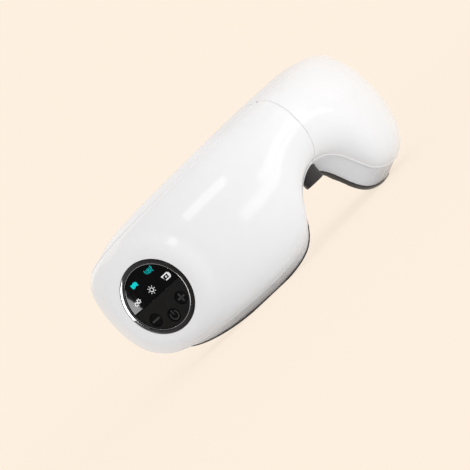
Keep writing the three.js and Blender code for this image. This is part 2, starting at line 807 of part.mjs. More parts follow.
function panelBezel() {
  const profile = [
    [bezelInner, ledgeFront],
    [bezelInner - bezelLedge, ledgeFront],
    [bezelInner - bezelLedge, ledgeFront - bezelLedge],
    [bezelInner, ledgeFront - bezelLedge],
    [bezelInner, -bezelDepth],
    [panelRadius, -bezelDepth],
    [panelRadius, bezelProud - bezelOuterRound],
    [panelRadius - bezelOuterRound, bezelProud],
    [bezelInner + bezelInnerSlope, bezelProud],
    [bezelInner, bezelProud - bezelInnerSlope],
    [bezelInner, ledgeFront],
  ].map(([x, y]) => new THREE.Vector2(x, y));
  const ring = new THREE.LatheGeometry(profile, 36);
  ring.rotateX(Math.PI / 2);
  return solid(ring);
}

const buttons = {
  minus: [-buttonSpread, -sideButtonDrop],
  power: [0, -powerButtonDrop],
  plus: [buttonSpread, -sideButtonDrop],
};

// One side of the round plate, above or below the dividing line.
function plateSide(upper, front, back, radius) {
  const [bottom, top] = upper ? [gap / 2, far] : [-far, -gap / 2];
  return rod(radius, back, front, 40).intersect(box(-far, far, bottom, top, -far, far));
}

function controlPanel() {
  add('panel_bezel', panelBezel(), blackMetal, panelFrame);
  add('display_window', plateSide(true, windowFront, windowBack, plateRadius), darkGlass, panelFrame);
  let keypad = plateSide(false, bezelProud - keypadSink, windowBack, plateRadius);
  for (const [x, y] of Object.values(buttons)) {
    keypad = keypad.subtract(rod(buttonRadius + buttonClearance, -far, far, 24, shifted(x, y, 0)));
  }
  add('keypad_plate', keypad, keypadBlack, panelFrame);
  for (const [name, place] of Object.entries(buttons)) panelButton(name, place);
  add('light_guide', lightGuide(), guideWhite, panelFrame);
  const board = rod(plateRadius, boardFront - boardThickness, boardFront, 40);
  add('control_board', board, boardGreen, panelFrame);
}

// A button with its stem, and the switch that it presses.
function panelButton(name, [x, y]) {
  const place = panelFrame.clone().multiply(shifted(x, y, 0));
  const front = bezelProud - buttonSink;
  const switchTop = boardFront + switchHeight;
  const cap = rod(buttonRadius, front - buttonHeight, front, 24);
  const stem = rod(stemRadius, switchTop + buttonTravel + lap, front - buttonHeight + lap, 12);
  add(`${name}_button`, cap.add(stem), buttonBlack, place);
  const half = switchSize / 2;
  const can = box(-half, half, -half, half, boardFront + gap / 2, switchTop - switchKey);
  const key = rod(stemRadius, switchTop - switchKey - lap, switchTop, 12);
  add(`tact_switch_${name}`, can.add(key), steel, place);
}

// Centres of the five display symbols, which the guide lights one by one.
const symbolPlaces = [[-5.2, 11.9], [6.9, 12.4], [-10.8, 4.3], [0.6, 4.4], [12.2, 4.4]];

function lightGuide() {
  let guide = plateSide(true, ledgeFront, boardFront + gap, bezelInner - bezelLedge - gap);
  for (const [x, y] of symbolPlaces) {
    guide = guide.subtract(rod(lampWell, -far, far, 10, shifted(x, y, 0)));
  }
  return guide;
}

// Inside parts. Each lies on the rear frame's floor.

function lying(side, s, z) {
  return station(side * s, z, -floorFront + gap);
}

// A block on the floor, given by its size along the plan, towards the face and up.
function floorBlock([x, y, z]) {
  return box(-x / 2, x / 2, -y, 0, -z / 2, z / 2);
}

// Turns a rod's Z to point along X.
const alongX = new THREE.Matrix4().makeRotationY(Math.PI / 2);

// A chip on the board's face, centred at x and z.
function chip([width, depth, height], x, z) {
  const face = -mainBoard[1] + lap;
  return box(x - width / 2, x + width / 2, face - depth, face, z - height / 2, z + height / 2);
}

// The socket in the lower wall: Z runs up from the wall and X along it.
const socketLevel = lobeLevel - lobeFlare + shellWall + overrun;
const socketFrame = station(socketReach, socketLevel, -wallDepth / 2 - overrun);

function socketBlock([width, depth], margin, bottom, top) {
  const [x, y] = [width / 2 + margin, depth / 2 + margin];
  return box(-x, x, -y, y, bottom, top, socketFrame);
}

function electronics() {
  const chips = chip(processor, -6, 0).add(chip(driverChip, 8, 5));
  add('main_board', floorBlock(mainBoard).add(chips), boardGreen, lying(-1, ...boardPlace));
  add('battery_cell', floorBlock(batteryCell), cellSilver, lying(1, ...batteryPlace));
  const upright = new THREE.Matrix4().makeRotationX(Math.PI / 2);
  const speaker = rod(speakerRadius, 0, speakerHeight, 28);
  add('speaker', speaker, blackPlastic, lying(-1, ...speakerPlace).multiply(upright));
  const mouth = socketBlock(socketMouth, 0, -overrun, socketMouth[2]);
  add('charging_socket', socketBlock(socketBody, 0, 0, socketBody[2]).subtract(mouth), steel);
}

// Air pump: a motor turns a crank, whose pin works the head.
function pump() {
  const place = lying(1, ...pumpPlace).multiply(shifted(0, -pumpRadius - gap, 0));
  const shaft = rod(shaftRadius, -overrun, shaftLength, 10, alongX);
  add('pump_motor', rod(pumpRadius, -pumpMotorLength, 0, 28, alongX).add(shaft), steel, place);
  const discStart = shaftLength + gap;
  const discEnd = discStart + crankThickness;
  const offset = shifted(0, 0, crankThrow).multiply(alongX);
  const throwPin = rod(throwPinRadius, discEnd - lap, discEnd + throwPinLength, 12, offset);
  add('pump_crank', rod(crankRadius, discStart, discEnd, 24, alongX).add(throwPin), guideWhite, place);
  const end = pumpHeadLength;
  const gallery = rod(crankRadius + overrun, -overrun, galleryDepth, 28, alongX);
  const nozzle = rod(nozzleRadius, end - overrun, end + nozzleLength, 12, alongX);
  const port = rod(portRadius, galleryDepth - overrun, end + nozzleLength + overrun, 8, alongX);
  const head = rod(pumpRadius, gap, end, 28, alongX).subtract(gallery).add(nozzle).subtract(port);
  add('pump_head', head, blackPlastic, place);
}

// Air valve, whose plunger drops to let the airbags down.
function valve() {
  const place = lying(1, ...valvePlace);
  const top = valveBody[2] / 2;
  const middle = shifted(0, -valveBody[1] / 2, 0);
  const drill = rod(plungerRadius + gap / 2, top - plungerBore, top + overrun, 16, middle);
  add('valve_body', floorBlock(valveBody).subtract(drill), blackPlastic, place);
  const plunger = rod(plungerRadius, top - plungerBore + plungerTravel + gap, top + plungerProud, 16, middle);
  add('valve_plunger', plunger, brass, place);
}

function vibrators() {
  for (const [word, side] of Object.entries(sides)) {
    const place = lying(side, ...vibratorPlace).multiply(shifted(0, -vibratorRadius - gap, 0));
    const shaftEnd = weightOffset + weightLength / 2;
    const shaft = rod(vibratorShaft, -overrun, shaftEnd, 10, alongX);
    const motor = rod(vibratorRadius, -vibratorLength, 0, 20, alongX).add(shaft);
    add(`vibration_motor_${word}`, motor, steel, place);
    const [start, end] = [weightOffset, weightOffset + weightLength];
    const upperHalf = box(0, far, -far, far, -vibratorShaft, far);
    const weight = rod(weightRadius, start, end, 20, alongX).intersect(upperHalf);
    const blind = rod(vibratorShaft + gap / 2, 0, shaftEnd + gap, 10, alongX);
    const hub = rod(weightHub, start, end, 12, alongX);
    add(`vibration_weight_${word}`, weight.add(hub).subtract(blind), brass, place);
  }
}

frontCovers();
rimFrames();
rearFrames();
screws();
softParts();
hinge();
controlPanel();
electronics();
pump();
valve();
vibrators();

const extent = new THREE.Box3().setFromObject(massager, true);
massager.position.set(-(extent.min.x + extent.max.x) / 2, -(extent.min.y + extent.max.y) / 2, 0);

export default massager;
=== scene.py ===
import json
from math import cos, degrees, exp, hypot, pi, radians, sin

import bmesh
import bpy
import numpy as np
from mathutils import Matrix, Vector

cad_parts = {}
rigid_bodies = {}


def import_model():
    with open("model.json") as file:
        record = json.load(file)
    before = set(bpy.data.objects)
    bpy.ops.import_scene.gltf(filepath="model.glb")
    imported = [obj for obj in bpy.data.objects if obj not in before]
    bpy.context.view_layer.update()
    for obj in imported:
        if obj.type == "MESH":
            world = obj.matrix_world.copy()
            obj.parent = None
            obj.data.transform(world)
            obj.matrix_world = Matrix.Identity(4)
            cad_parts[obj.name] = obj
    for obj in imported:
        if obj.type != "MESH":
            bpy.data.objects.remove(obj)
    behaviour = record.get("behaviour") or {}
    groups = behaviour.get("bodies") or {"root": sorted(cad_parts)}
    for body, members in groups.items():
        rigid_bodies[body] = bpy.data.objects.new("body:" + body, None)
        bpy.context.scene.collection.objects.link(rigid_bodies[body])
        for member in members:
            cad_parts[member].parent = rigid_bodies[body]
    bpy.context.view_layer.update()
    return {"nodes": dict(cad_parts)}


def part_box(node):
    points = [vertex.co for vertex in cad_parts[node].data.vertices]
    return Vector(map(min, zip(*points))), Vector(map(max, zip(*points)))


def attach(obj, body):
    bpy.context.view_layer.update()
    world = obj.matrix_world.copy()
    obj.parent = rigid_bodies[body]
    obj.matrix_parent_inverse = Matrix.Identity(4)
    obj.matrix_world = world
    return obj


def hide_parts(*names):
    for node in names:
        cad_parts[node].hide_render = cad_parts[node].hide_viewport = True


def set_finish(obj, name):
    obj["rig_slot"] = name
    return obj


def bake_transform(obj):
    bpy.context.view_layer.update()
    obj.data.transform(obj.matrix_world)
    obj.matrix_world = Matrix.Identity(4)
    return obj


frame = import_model()

MM = 0.001

# Sizes are in millimetres. The mask's own plan runs along the brow, up from the table and outwards.
PLAN_BEND, PLAN_WRAP, PLAN_STEP, PLAN_END = 103.4, 232.0, 0.5, 190
BROW_LEVEL, BRIDGE_LEVEL = 76.2, 38.7
HALF_LINE = [(67, 75), (123, 73.4), (146, 65.4), (147, 15.9),
             (105.5, 6.8), (75.3, 4.9), (29.1, 4.5), (21.9, 26.9)]
HALF_FLARE, BROW_FLARE, BRIDGE_FLARE = [3.4, 3.4, 2.8, 2.8, 4.7, 4.7, 4.5, 5.7], 3.4, 2.6
HALF_LIP, BROW_LIP, BRIDGE_LIP = [-0.5, -0.5, 0.0, 0.8, 0.8, 0.8, 0.8, 0.8], -0.5, 0.8
CROWN_BRIDGE, CROWN_LOBE, CROWN_POWER, CROWN_SOFT, CROWN_GROWTH = 14.3, 14.6, 1.85, 0.12, (10, 60)
SPINE_REACH, SPINE_ROUND = 94.0, 6
WALL_START, WALL_DEPTH, FRAME_START, FRAME_FLOOR, FRAME_DEPTH = 0.3, 10.4, 10.7, 12.9, 13.5
SEAM, SHELL_WALL, SHARP_ANGLE = 0.15, 2.2, 50

# Cutters end at these places, well past the part.
FAR, HIGH, LOW = 200, 120, -5

# The control panel on the left temple.
PANEL_REACH, PANEL_LEVEL, PANEL_RISE, PANEL_FACING = -104.0, 39.2, 11.3, radians(67.5)
PANEL_RADIUS, PANEL_INNER, BEZEL_PROUD, BEZEL_DEPTH = 20.1, 17.7, 0.7, 7.2
PANEL_HOLE_GAP, SEAT_MARGIN, SEAT_BLEND = 0.3, 1.4, 12.0
WINDOW_FRONT, WINDOW_BACK, KEYPAD_FRONT = 0.2, -1.4, 0.1
BUTTONS = {"minus": (-10.0, -8.3), "power": (0.0, -12.4), "plus": (10.0, -8.3)}
BUTTON_RADIUS, BUTTON_GAP, BUTTON_FRONT, BUTTON_BACK = 3.5, 0.2, -0.2, -2.1

HINGE_DEPTH, POCKET_RADIUS, POCKET_TOP, FOLD_ANGLE, FOLD_GAP = 9.4, 6.0, 75.2, 75.0, 0.3

pin_low, pin_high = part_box("hinge_pin")
PLACE = Vector(((pin_low.x + pin_high.x) / 2, (pin_low.y + pin_high.y) / 2 - HINGE_DEPTH * MM, 0))

# The mask's curves.


def smoothstep(x, low, high):
    t = np.clip((np.asarray(x, float) - low) / (high - low), 0, 1)
    return t * t * (3 - 2 * t)


def turn_at(s):
    return s / PLAN_BEND + (s / PLAN_WRAP) ** 3


plan_s = np.arange(0, PLAN_END, PLAN_STEP)
plan_turn = turn_at(plan_s[:-1] + PLAN_STEP / 2)
plan_x = np.concatenate([[0], np.cumsum(PLAN_STEP * np.cos(plan_turn))])
plan_y = np.concatenate([[0], np.cumsum(PLAN_STEP * np.sin(plan_turn))])


def mask_points(s, z, h):
    """Points in the part's millimetres: s along the brow, z up, h out of the plan curve."""
    s, z, h = np.broadcast_arrays(np.asarray(s, float), np.asarray(z, float), np.asarray(h, float))
    a = np.abs(s)
    turn = turn_at(a)
    x = np.interp(a, plan_s, plan_x) + h * np.sin(turn)
    y = np.interp(a, plan_s, plan_y) - h * np.cos(turn)
    return np.stack([np.where(s < 0, -x, x), y, z], axis=-1)


def to_metres(points):
    return np.asarray(points) * MM + np.array(PLACE)


def closed_spline(controls, spans):
    controls = np.array(controls, float)
    t = (np.arange(spans) / spans)[:, None]
    weights = [(1 - t) ** 3, 3 * t ** 3 - 6 * t ** 2 + 4, -3 * t ** 3 + 3 * t ** 2 + 3 * t + 1, t ** 3]
    rolled = [np.roll(controls, 1 - k, axis=0) for k in range(4)]
    return np.concatenate([sum(w * r[i] for w, r in zip(weights, rolled)) / 6 for i in range(len(controls))])


def sideways(steps):
    """Unit vectors to the left of the steps."""
    steps = steps / np.linalg.norm(steps, axis=1)[:, None]
    return np.stack([-steps[:, 1], steps[:, 0]], axis=1)


def offset_line(line, distance):
    steps = np.roll(line, -1, axis=0) - np.roll(line, 1, axis=0)
    return line + sideways(steps) * np.broadcast_to(distance, len(line))[:, None]


def mirrored(half, first, last, flip):
    return [first, *half, last, *[flip(q) for q in reversed(half)]]


class Line:
    """A closed line round the mask, read as an upper and a lower level along the brow."""

    def __init__(self, controls):
        points = closed_spline(controls, 40)
        left, right = points[:, 0].argmin(), points[:, 0].argmax()
        count = len(points)
        upper = points[(left + np.arange((right - left) % count + 1)) % count]
        lower = points[(left - np.arange((left - right) % count + 1)) % count]
        self.reach = points[right, 0]
        self.chains = [(np.maximum.accumulate(c[:, 0]), c[:, 1]) for c in (upper, lower)]

    def level(self, s, upper):
        return np.interp(s, *self.chains[0 if upper else 1])


BEAD_CONTROLS = np.array(mirrored(HALF_LINE, (0, BROW_LEVEL), (0, BRIDGE_LEVEL),
                                  lambda q: (-q[0], q[1])), float)
WALL_CONTROLS = offset_line(BEAD_CONTROLS, mirrored(HALF_FLARE, BROW_FLARE, BRIDGE_FLARE, lambda q: q))
LIP_CONTROLS = offset_line(WALL_CONTROLS, mirrored(HALF_LIP, BROW_LIP, BRIDGE_LIP, lambda q: q))
bead_line, wall_line, lip_line = Line(BEAD_CONTROLS), Line(WALL_CONTROLS), Line(LIP_CONTROLS)


def spine_of(line, s):
    along = s / (1 + np.abs(s / SPINE_REACH) ** SPINE_ROUND) ** (1 / SPINE_ROUND)
    return along, (line.level(along, True) + line.level(along, False)) / 2


def crown_at(s):
    return CROWN_BRIDGE + (CROWN_LOBE - CROWN_BRIDGE) * smoothstep(np.abs(s), *CROWN_GROWTH)


def crown_profile(share):
    t = (np.hypot(1 - share, CROWN_SOFT) - CROWN_SOFT) / (hypot(1, CROWN_SOFT) - CROWN_SOFT)
    return np.clip(1 - t ** CROWN_POWER, 0, 1) ** (1 / CROWN_POWER)


# The control panel's own frame: x and y on the panel, z outwards.

panel_origin = mask_points(PANEL_REACH, PANEL_LEVEL, PANEL_RISE)
PANEL_AXES = np.array([[cos(PANEL_FACING), -sin(PANEL_FACING), 0], [0, 0, 1],
                       [-sin(PANEL_FACING), -cos(PANEL_FACING), 0]])
panel_place = Matrix.Translation(Vector(to_metres(panel_origin)))
PANEL_FRAME = panel_place @ Matrix(PANEL_AXES.T.tolist()).to_4x4()


def seat_panel(points):
    """Draws the dome flat to the panel's plane round the panel."""
    local = (points - panel_origin) @ PANEL_AXES.T
    radius = np.hypot(local[..., 0], local[..., 1])
    seat = PANEL_RADIUS + SEAT_MARGIN
    flat = 1 - smoothstep(radius, seat, seat + SEAT_BLEND)
    flat = np.where((points[..., 0] > 0) | (local[..., 2] < -3 * SHELL_WALL), 0, flat)
    local[..., 2] *= 1 - flat
    return local @ PANEL_AXES + panel_origin


# Making meshes.


def clear_selection():
    """An operator acts on all that is selected."""
    bpy.ops.object.select_all(action="DESELECT")


def select_only(piece):
    clear_selection()
    piece.select_set(True)
    bpy.context.view_layer.objects.active = piece


def raw_piece(name, points, edges, faces):
    """A new object from points in metres."""
    mesh = bpy.data.meshes.new(name)
    mesh.from_pydata([tuple(p) for p in points], edges, faces)
    piece = bpy.data.objects.new(name, mesh)
    bpy.context.scene.collection.objects.link(piece)
    return piece


def rework(piece, work):
    """Runs a step on the piece's bmesh and faces it outwards."""
    bm = bmesh.new()
    bm.from_mesh(piece.data)
    work(bm)
    bmesh.ops.recalc_face_normals(bm, faces=bm.faces)
    bm.to_mesh(piece.data)
    bm.free()


def tidy_mesh(piece, distance=2e-6):
    def merge(bm):
        bmesh.ops.remove_doubles(bm, verts=bm.verts, dist=distance)
        bmesh.ops.dissolve_degenerate(bm, edges=bm.edges, dist=distance)

    rework(piece, merge)


def close_ends(piece):
    """Fills the open ends of a shell."""
    rework(piece, lambda bm: bmesh.ops.holes_fill(bm, edges=[e for e in bm.edges if e.is_boundary], sides=0))


def mesh_piece(name, points, faces):
    piece = raw_piece(name, points, [], faces)
    tidy_mesh(piece)
    return piece


def grid_faces(columns, rows, wrap_columns=False, wrap_rows=False):
    faces = []
    for i in range(columns if wrap_columns else columns - 1):
        here, beside = i * rows, (i + 1) % columns * rows
        for j in range(rows if wrap_rows else rows - 1):
            after = (j + 1) % rows
            faces.append((here + j, beside + j, beside + after, here + after))
    return faces


def sheet_piece(name, grid, wrap_columns=False, wrap_rows=False):
    """A piece from an array of points, columns by rows, in the part's millimetres."""
    faces = grid_faces(*grid.shape[:2], wrap_columns, wrap_rows)
    return mesh_piece(name, to_metres(grid.reshape(-1, 3)), faces)


def modify(piece, kind, **settings):
    """Adds a modifier and applies it."""
    select_only(piece)
    modifier = piece.modifiers.new(kind.title(), kind)
    for key, value in settings.items():
        setattr(modifier, key, value)
    bpy.ops.object.modifier_apply(modifier=modifier.name)


def thicken(piece, thickness):
    modify(piece, "SOLIDIFY", thickness=thickness * MM, offset=-1, use_even_offset=True)


def round_edges(piece, width, segments=2):
    modify(piece, "BEVEL", width=width * MM, segments=segments, limit_method="ANGLE",
           angle_limit=radians(SHARP_ANGLE))


def carve(piece, cutter):
    modify(piece, "BOOLEAN", object=cutter, operation="DIFFERENCE", solver="EXACT")
    bpy.data.objects.remove(cutter, do_unlink=True)


def smooth(piece, angle=30):
    select_only(piece)
    bpy.ops.object.shade_smooth_by_angle(angle=radians(angle))


def settle(piece, matrix):
    """Puts a place into the piece's mesh."""
    piece.matrix_world = matrix
    select_only(piece)
    bpy.ops.object.transform_apply()
    return piece


def rod(name, radius, low, high, matrix, vertices=96):
    """A round bar along the z of its frame."""
    clear_selection()
    bpy.ops.mesh.primitive_cylinder_add(vertices=vertices, radius=radius * MM, depth=(high - low) * MM)
    bpy.context.object.name = name
    return settle(bpy.context.object, matrix @ Matrix.Translation((0, 0, (low + high) / 2 * MM)))


def block(name, low, high, matrix):
    clear_selection()
    bpy.ops.mesh.primitive_cube_add(size=1)
    bpy.context.object.name = name
    middle = [(a + b) / 2 * MM for a, b in zip(low, high)]
    size = [(b - a) * MM for a, b in zip(low, high)]
    return settle(bpy.context.object, matrix @ Matrix.Translation(middle) @ Matrix.Diagonal((*size, 1)))


def edit_all(piece, *steps):
    """Runs edit mode steps on the whole of a piece."""
    select_only(piece)
    bpy.ops.object.mode_set(mode="EDIT")
    for step in steps:
        bpy.ops.mesh.select_all(action="SELECT")
        step()
    bpy.ops.object.mode_set(mode="OBJECT")


def face_outwards():
    bpy.ops.mesh.normals_make_consistent(inside=False)


PART_FRAME = Matrix.Translation(PLACE)
HINGE_FRAME = PART_FRAME @ Matrix.Translation((0, HINGE_DEPTH * MM, 0))
SIDES = {"left": -1, "right": 1}


def fit(piece, body, slot, *nodes, angle=30):
    """The piece is smoothed, rides on a body, takes a slot's finish and stands for its nodes."""
    if angle:
        smooth(piece, angle)
    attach(piece, body)
    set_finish(piece, slot)
    if nodes:
        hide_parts(*nodes)


def cut_fold_relief(piece, side):
    lean = Matrix.Rotation(side * radians(90 - FOLD_ANGLE / 2), 4, "Z")
    carve(piece, block("relief", (-FAR, -FOLD_GAP, -20), (FAR, FAR, HIGH), HINGE_FRAME @ lean))


# Housing.

COLUMNS = 84
WEARER = (0, 60, 40)
sweep = np.linspace(0, pi / 2, COLUMNS)


def stations_on(line):
    return SEAM + (line.reach - SEAM) * np.sin(sweep)


def dome_grid(line, shares, height_at, side):
    """Columns along the brow, rows from the upper edge over the spine to the lower edge."""
    s = stations_on(line)
    along, middle = spine_of(line, s)
    half = []
    for upper in (True, False):
        rows = []
        z = line.level(s, upper)
        for share in shares:
            ss = s + (along - s) * share
            rows.append(mask_points(side * ss, z + (middle - z) * share, height_at(ss, share)))
        half.append(rows)
    return np.stack(half[0] + half[1][-2::-1], axis=1)


def shell_piece(name, grid):
    """A moulded wall with its outer face on the grid."""
    piece = sheet_piece(name, grid)
    focus = Vector(to_metres(WEARER))
    if sum(f.area * f.normal.dot(f.center - focus) for f in piece.data.polygons) < 0:
        piece.data.flip_normals()
    thicken(piece, SHELL_WALL)
    return piece


def front_cover(word, side):
    shares = 1 - np.cos(np.linspace(0, pi / 2, 30))
    grid = dome_grid(bead_line, shares, lambda s, share: crown_at(s) * crown_profile(share), side)
    cover = shell_piece(f"glossy_cover_{word}", seat_panel(grid) if side < 0 else grid)
    if side < 0:
        carve(cover, rod("panel_hole", PANEL_RADIUS + PANEL_HOLE_GAP, -12, 12, PANEL_FRAME))
    round_edges(cover, width=0.25)
    fit(cover, f"{word}_half", "shell_white", f"front_cover_{word}", angle=40)


def edge_path(line):
    """Places round a half, from the seam's top over the temple to the seam's foot."""
    s = stations_on(line)
    upper, lower = (np.stack([s, line.level(s, over)], axis=1) for over in (True, False))
    return np.concatenate([upper, lower[-2::-1]])


SOCKET_REACH, SOCKET_LEVEL, SOCKET_DEPTH, SOCKET_HALF = 78, 3.4, -6.2, (4.8, 2.0)
SCREW_PLACES, SCREW_SEAT_RADIUS, SCREW_SEAT_DEPTH = [(31, 69), (126, 61), (98, 13)], 2.5, 1.6
SCREW_TURN = Matrix.Rotation(radians(-90), 4, "X")


def mask_frame(side, s, z, h=0):
    """A frame on the mask that turns with the plan curve."""
    place = Matrix.Translation(Vector(to_metres(mask_points(side * s, z, h))))
    return place @ Matrix.Rotation(side * turn_at(s), 4, "Z")


def rim_wall(word, side):
    front, back = (mask_points(side * path[:, 0], path[:, 1], height) for path, height in
                   ((edge_path(bead_line), -WALL_START), (edge_path(wall_line), -WALL_DEPTH)))
    grid = np.stack([front + (back - front) * t for t in np.linspace(0, 1, 6)], axis=1)
    wall = shell_piece(f"white_rim_{word}", grid)
    carve(wall, rod("pocket", POCKET_RADIUS, LOW, POCKET_TOP, HINGE_FRAME))
    cut_fold_relief(wall, side)
    if side > 0:
        (x, y), mouth = SOCKET_HALF, mask_frame(1, SOCKET_REACH, SOCKET_LEVEL, SOCKET_DEPTH)
        carve(wall, block("socket_mouth", (-x, -y, -30), (x, y, 7), mouth))
    round_edges(wall, width=0.3)
    fit(wall, f"{word}_half", "shell_white", f"rim_frame_{word}", angle=40)
    # The wall takes a slightly darker white than the cover, which is painted shade on the wall band.
    paint(wall, "rim_white")


BEAD_RADIUS, BEAD_SIDES, BEAD_FADE_UPPER, BEAD_FADE_LOWER = 1.05, 14, (128, 141), (134, 141)


def parting_bead(word, side):
    """The bright bead on the parting line, which dies away round the temple end."""
    path = edge_path(bead_line)
    out = sideways(np.gradient(path, axis=0))
    upper = np.arange(len(path)) < COLUMNS
    fades = [smoothstep(path[:, 0], *ends) for ends in (BEAD_FADE_UPPER, BEAD_FADE_LOWER)]
    fade = 1 - np.where(upper, *fades)
    rings = []
    for angle in np.linspace(0, 2 * pi, BEAD_SIDES, endpoint=False):
        radius = BEAD_RADIUS * (0.25 + 0.75 * fade)
        across = radius * cos(angle) - 0.5 + 0.2 * fade
        rise = radius * sin(angle) * 0.9 - 0.15 + 0.2 * fade
        moved = path + out * across[:, None]
        rings.append(mask_points(side * moved[:, 0], moved[:, 1], rise))
    bead = sheet_piece(f"parting_bead_{word}", np.stack(rings, axis=1), wrap_rows=True)
    modify(bead, "SUBSURF", levels=1, render_levels=1)
    fit(bead, f"{word}_half", "shell_white", angle=180)


# The tray's lip: insets of its lines and of the floor's, and heights over its deepest line.
LIP_INSETS, LIP_HEIGHTS, NOSE_RELIEF_HALF, NOSE_RELIEF_GAP = (0.35, 1.6, 2.0), (0.6, 0.15, 0), 19, 2
*lip_lines, floor_line = [lip_line] + [Line(offset_line(LIP_CONTROLS, -inset)) for inset in LIP_INSETS]


def rear_tray(word, side):
    """A closed shell: the front skin, round the rounded lip and back over the floor."""
    shares = np.linspace(0, 1, 12)
    front = dome_grid(lip_line, shares, lambda s, share: -FRAME_START, side)
    floor = dome_grid(floor_line, shares, lambda s, share: -FRAME_FLOOR, side)[:, ::-1]
    foot, brow = [], []
    for line, height in zip(lip_lines, LIP_HEIGHTS):
        s = stations_on(line)
        for rows, over in ((foot, False), (brow, True)):
            rows.append(mask_points(side * s, line.level(s, over), height - FRAME_DEPTH))
    grid = np.concatenate([front, np.stack(foot, axis=1), floor, np.stack(brow[::-1], axis=1)], axis=1)
    tray = sheet_piece(f"rear_tray_{word}", grid, wrap_rows=True)
    close_ends(tray)
    carve(tray, rod("pocket", POCKET_RADIUS, LOW, HIGH, HINGE_FRAME))
    carve(tray, block("table", (-FAR, -FAR, -50), (FAR, FAR, 0), PART_FRAME))
    relief = (-NOSE_RELIEF_HALF, FRAME_FLOOR + NOSE_RELIEF_GAP, LOW), (NOSE_RELIEF_HALF, 60, HIGH)
    carve(tray, block("nose_relief", *relief, PART_FRAME))
    cut_fold_relief(tray, side)
    for s, z in SCREW_PLACES:
        seat = mask_frame(side, s, z) @ SCREW_TURN
        carve(tray, rod("screw_seat", SCREW_SEAT_RADIUS, FRAME_FLOOR - SCREW_SEAT_DEPTH, 40, seat, 32))
    round_edges(tray, width=0.5, segments=3)
    fit(tray, f"{word}_half", "black_plastic", f"rear_frame_{word}", angle=40)


def turned(name, profile, matrix, closed=True, steps=96):
    """Spins a profile of (radius, height) millimetres about the z of its frame."""
    count = len(profile)
    edges = [(i, (i + 1) % count) for i in range(count if closed else count - 1)]
    piece = raw_piece(name, [(r * MM, 0, h * MM) for r, h in profile], edges, [])
    edit_all(piece, lambda: bpy.ops.mesh.spin(steps=steps, angle=2 * pi, axis=(0, 0, 1)),
             lambda: bpy.ops.mesh.remove_doubles(threshold=1e-6), face_outwards)
    return settle(piece, matrix)


def panel_frame_at(x, y):
    return PANEL_FRAME @ Matrix.Translation((x * MM, y * MM, 0))


# The round control panel.

WINDOW_RADIUS, WINDOW_FLAT, WINDOW_SAG = 17.5, 9.0, 0.34
PLATE_SPLIT, PLATE_CUT = 0.1, 50

# The ring's outer slope: radii, and how far it leans there in degrees.
RING_RADII, RING_LEAN = [18.2, 18.45, 18.8, 19.2, 19.65, 19.95, PANEL_RADIUS], [0, 3, 12, 22, 33, 58, 78]


def window_height(radius):
    return WINDOW_FRONT - WINDOW_SAG * max(0.0, (radius - WINDOW_FLAT) / (WINDOW_RADIUS - WINDOW_FLAT)) ** 2


def half_plate(name, front, upper):
    profile = [(0, WINDOW_BACK), (WINDOW_RADIUS, WINDOW_BACK), *front]
    plate = turned(name, profile, PANEL_FRAME, closed=False, steps=144)
    low, high = (-PLATE_CUT, PLATE_SPLIT) if upper else (-PLATE_SPLIT, PLATE_CUT)
    carve(plate, block("half", (-PLATE_CUT, low, -PLATE_CUT), (PLATE_CUT, high, PLATE_CUT), PANEL_FRAME))
    return plate


def bezel_ring():
    reach = np.linspace(RING_RADII[0], PANEL_RADIUS, 24)
    slope = np.tan(np.radians(np.interp(reach, RING_RADII, RING_LEAN)))
    fall = np.concatenate([[0], np.cumsum(np.diff(reach) * (slope[1:] + slope[:-1]) / 2)])
    crest = [(18.0, 0.4), (18.05, BEZEL_PROUD - 0.12), (18.11, BEZEL_PROUD - 0.03)]
    foot = [(PANEL_RADIUS, -BEZEL_DEPTH), (PANEL_INNER, -BEZEL_DEPTH), (PANEL_INNER, -2.7), (16.7, -2.7),
            (16.7, -1.7), (PANEL_INNER, -1.7), (PANEL_INNER, -0.9), (18.0, -0.9)]
    ring = turned("bezel_ring", [*crest, *zip(reach, BEZEL_PROUD - fall), *foot], PANEL_FRAME, steps=160)
    fit(ring, "left_half", "bezel_black", "panel_bezel")
    trim = [(17.66, -0.8), (18.0, -0.8), (18.0, 0.2), (17.93, 0.28), (17.8, 0.3), (17.7, 0.25), (17.66, 0.1)]
    edge = turned("bright_inner_edge", trim, PANEL_FRAME, steps=160)
    fit(edge, "left_half", "steel")
    paint(edge, "trim_grey")


def display_window():
    radii = [0, *np.linspace(WINDOW_FLAT, WINDOW_RADIUS, 12)]
    front = [(r, window_height(r)) for r in reversed(radii)]
    window = half_plate("glossy_window", front, True)
    round_edges(window, width=0.12)
    fit(window, "left_half", "display_black", "display_window")


def keypad():
    plate = half_plate("matt_keypad", [(WINDOW_RADIUS, KEYPAD_FRONT), (0, KEYPAD_FRONT)], False)
    for x, y in BUTTONS.values():
        carve(plate, rod("button_hole", BUTTON_RADIUS + BUTTON_GAP, -3, 3, panel_frame_at(x, y), 64))
    round_edges(plate, width=0.15)
    fit(plate, "left_half", "keypad_dark", "keypad_plate")


def key_button(name):
    """A dished round key with its stem."""
    dish = [(BUTTON_RADIUS * t, BUTTON_FRONT - 0.22 * (1 - t * t)) for t in (0, 0.25, 0.5, 0.7, 0.86)]
    edge = [(3.3, BUTTON_FRONT), (3.44, BUTTON_FRONT - 0.06), (BUTTON_RADIUS, BUTTON_FRONT - 0.2)]
    profile = dish + edge + [(BUTTON_RADIUS, BUTTON_BACK), (1.2, BUTTON_BACK), (1.2, -3.3), (0, -3.3)]
    key = turned(f"{name}_key_cap", profile, panel_frame_at(*BUTTONS[name]), closed=False, steps=64)
    fit(key, f"{name}_key", "button_black", f"{name}_button")

# Signs, drawn flat.

SIGN_PROUD, SIGN_DEPTH = 0.02, 0.3


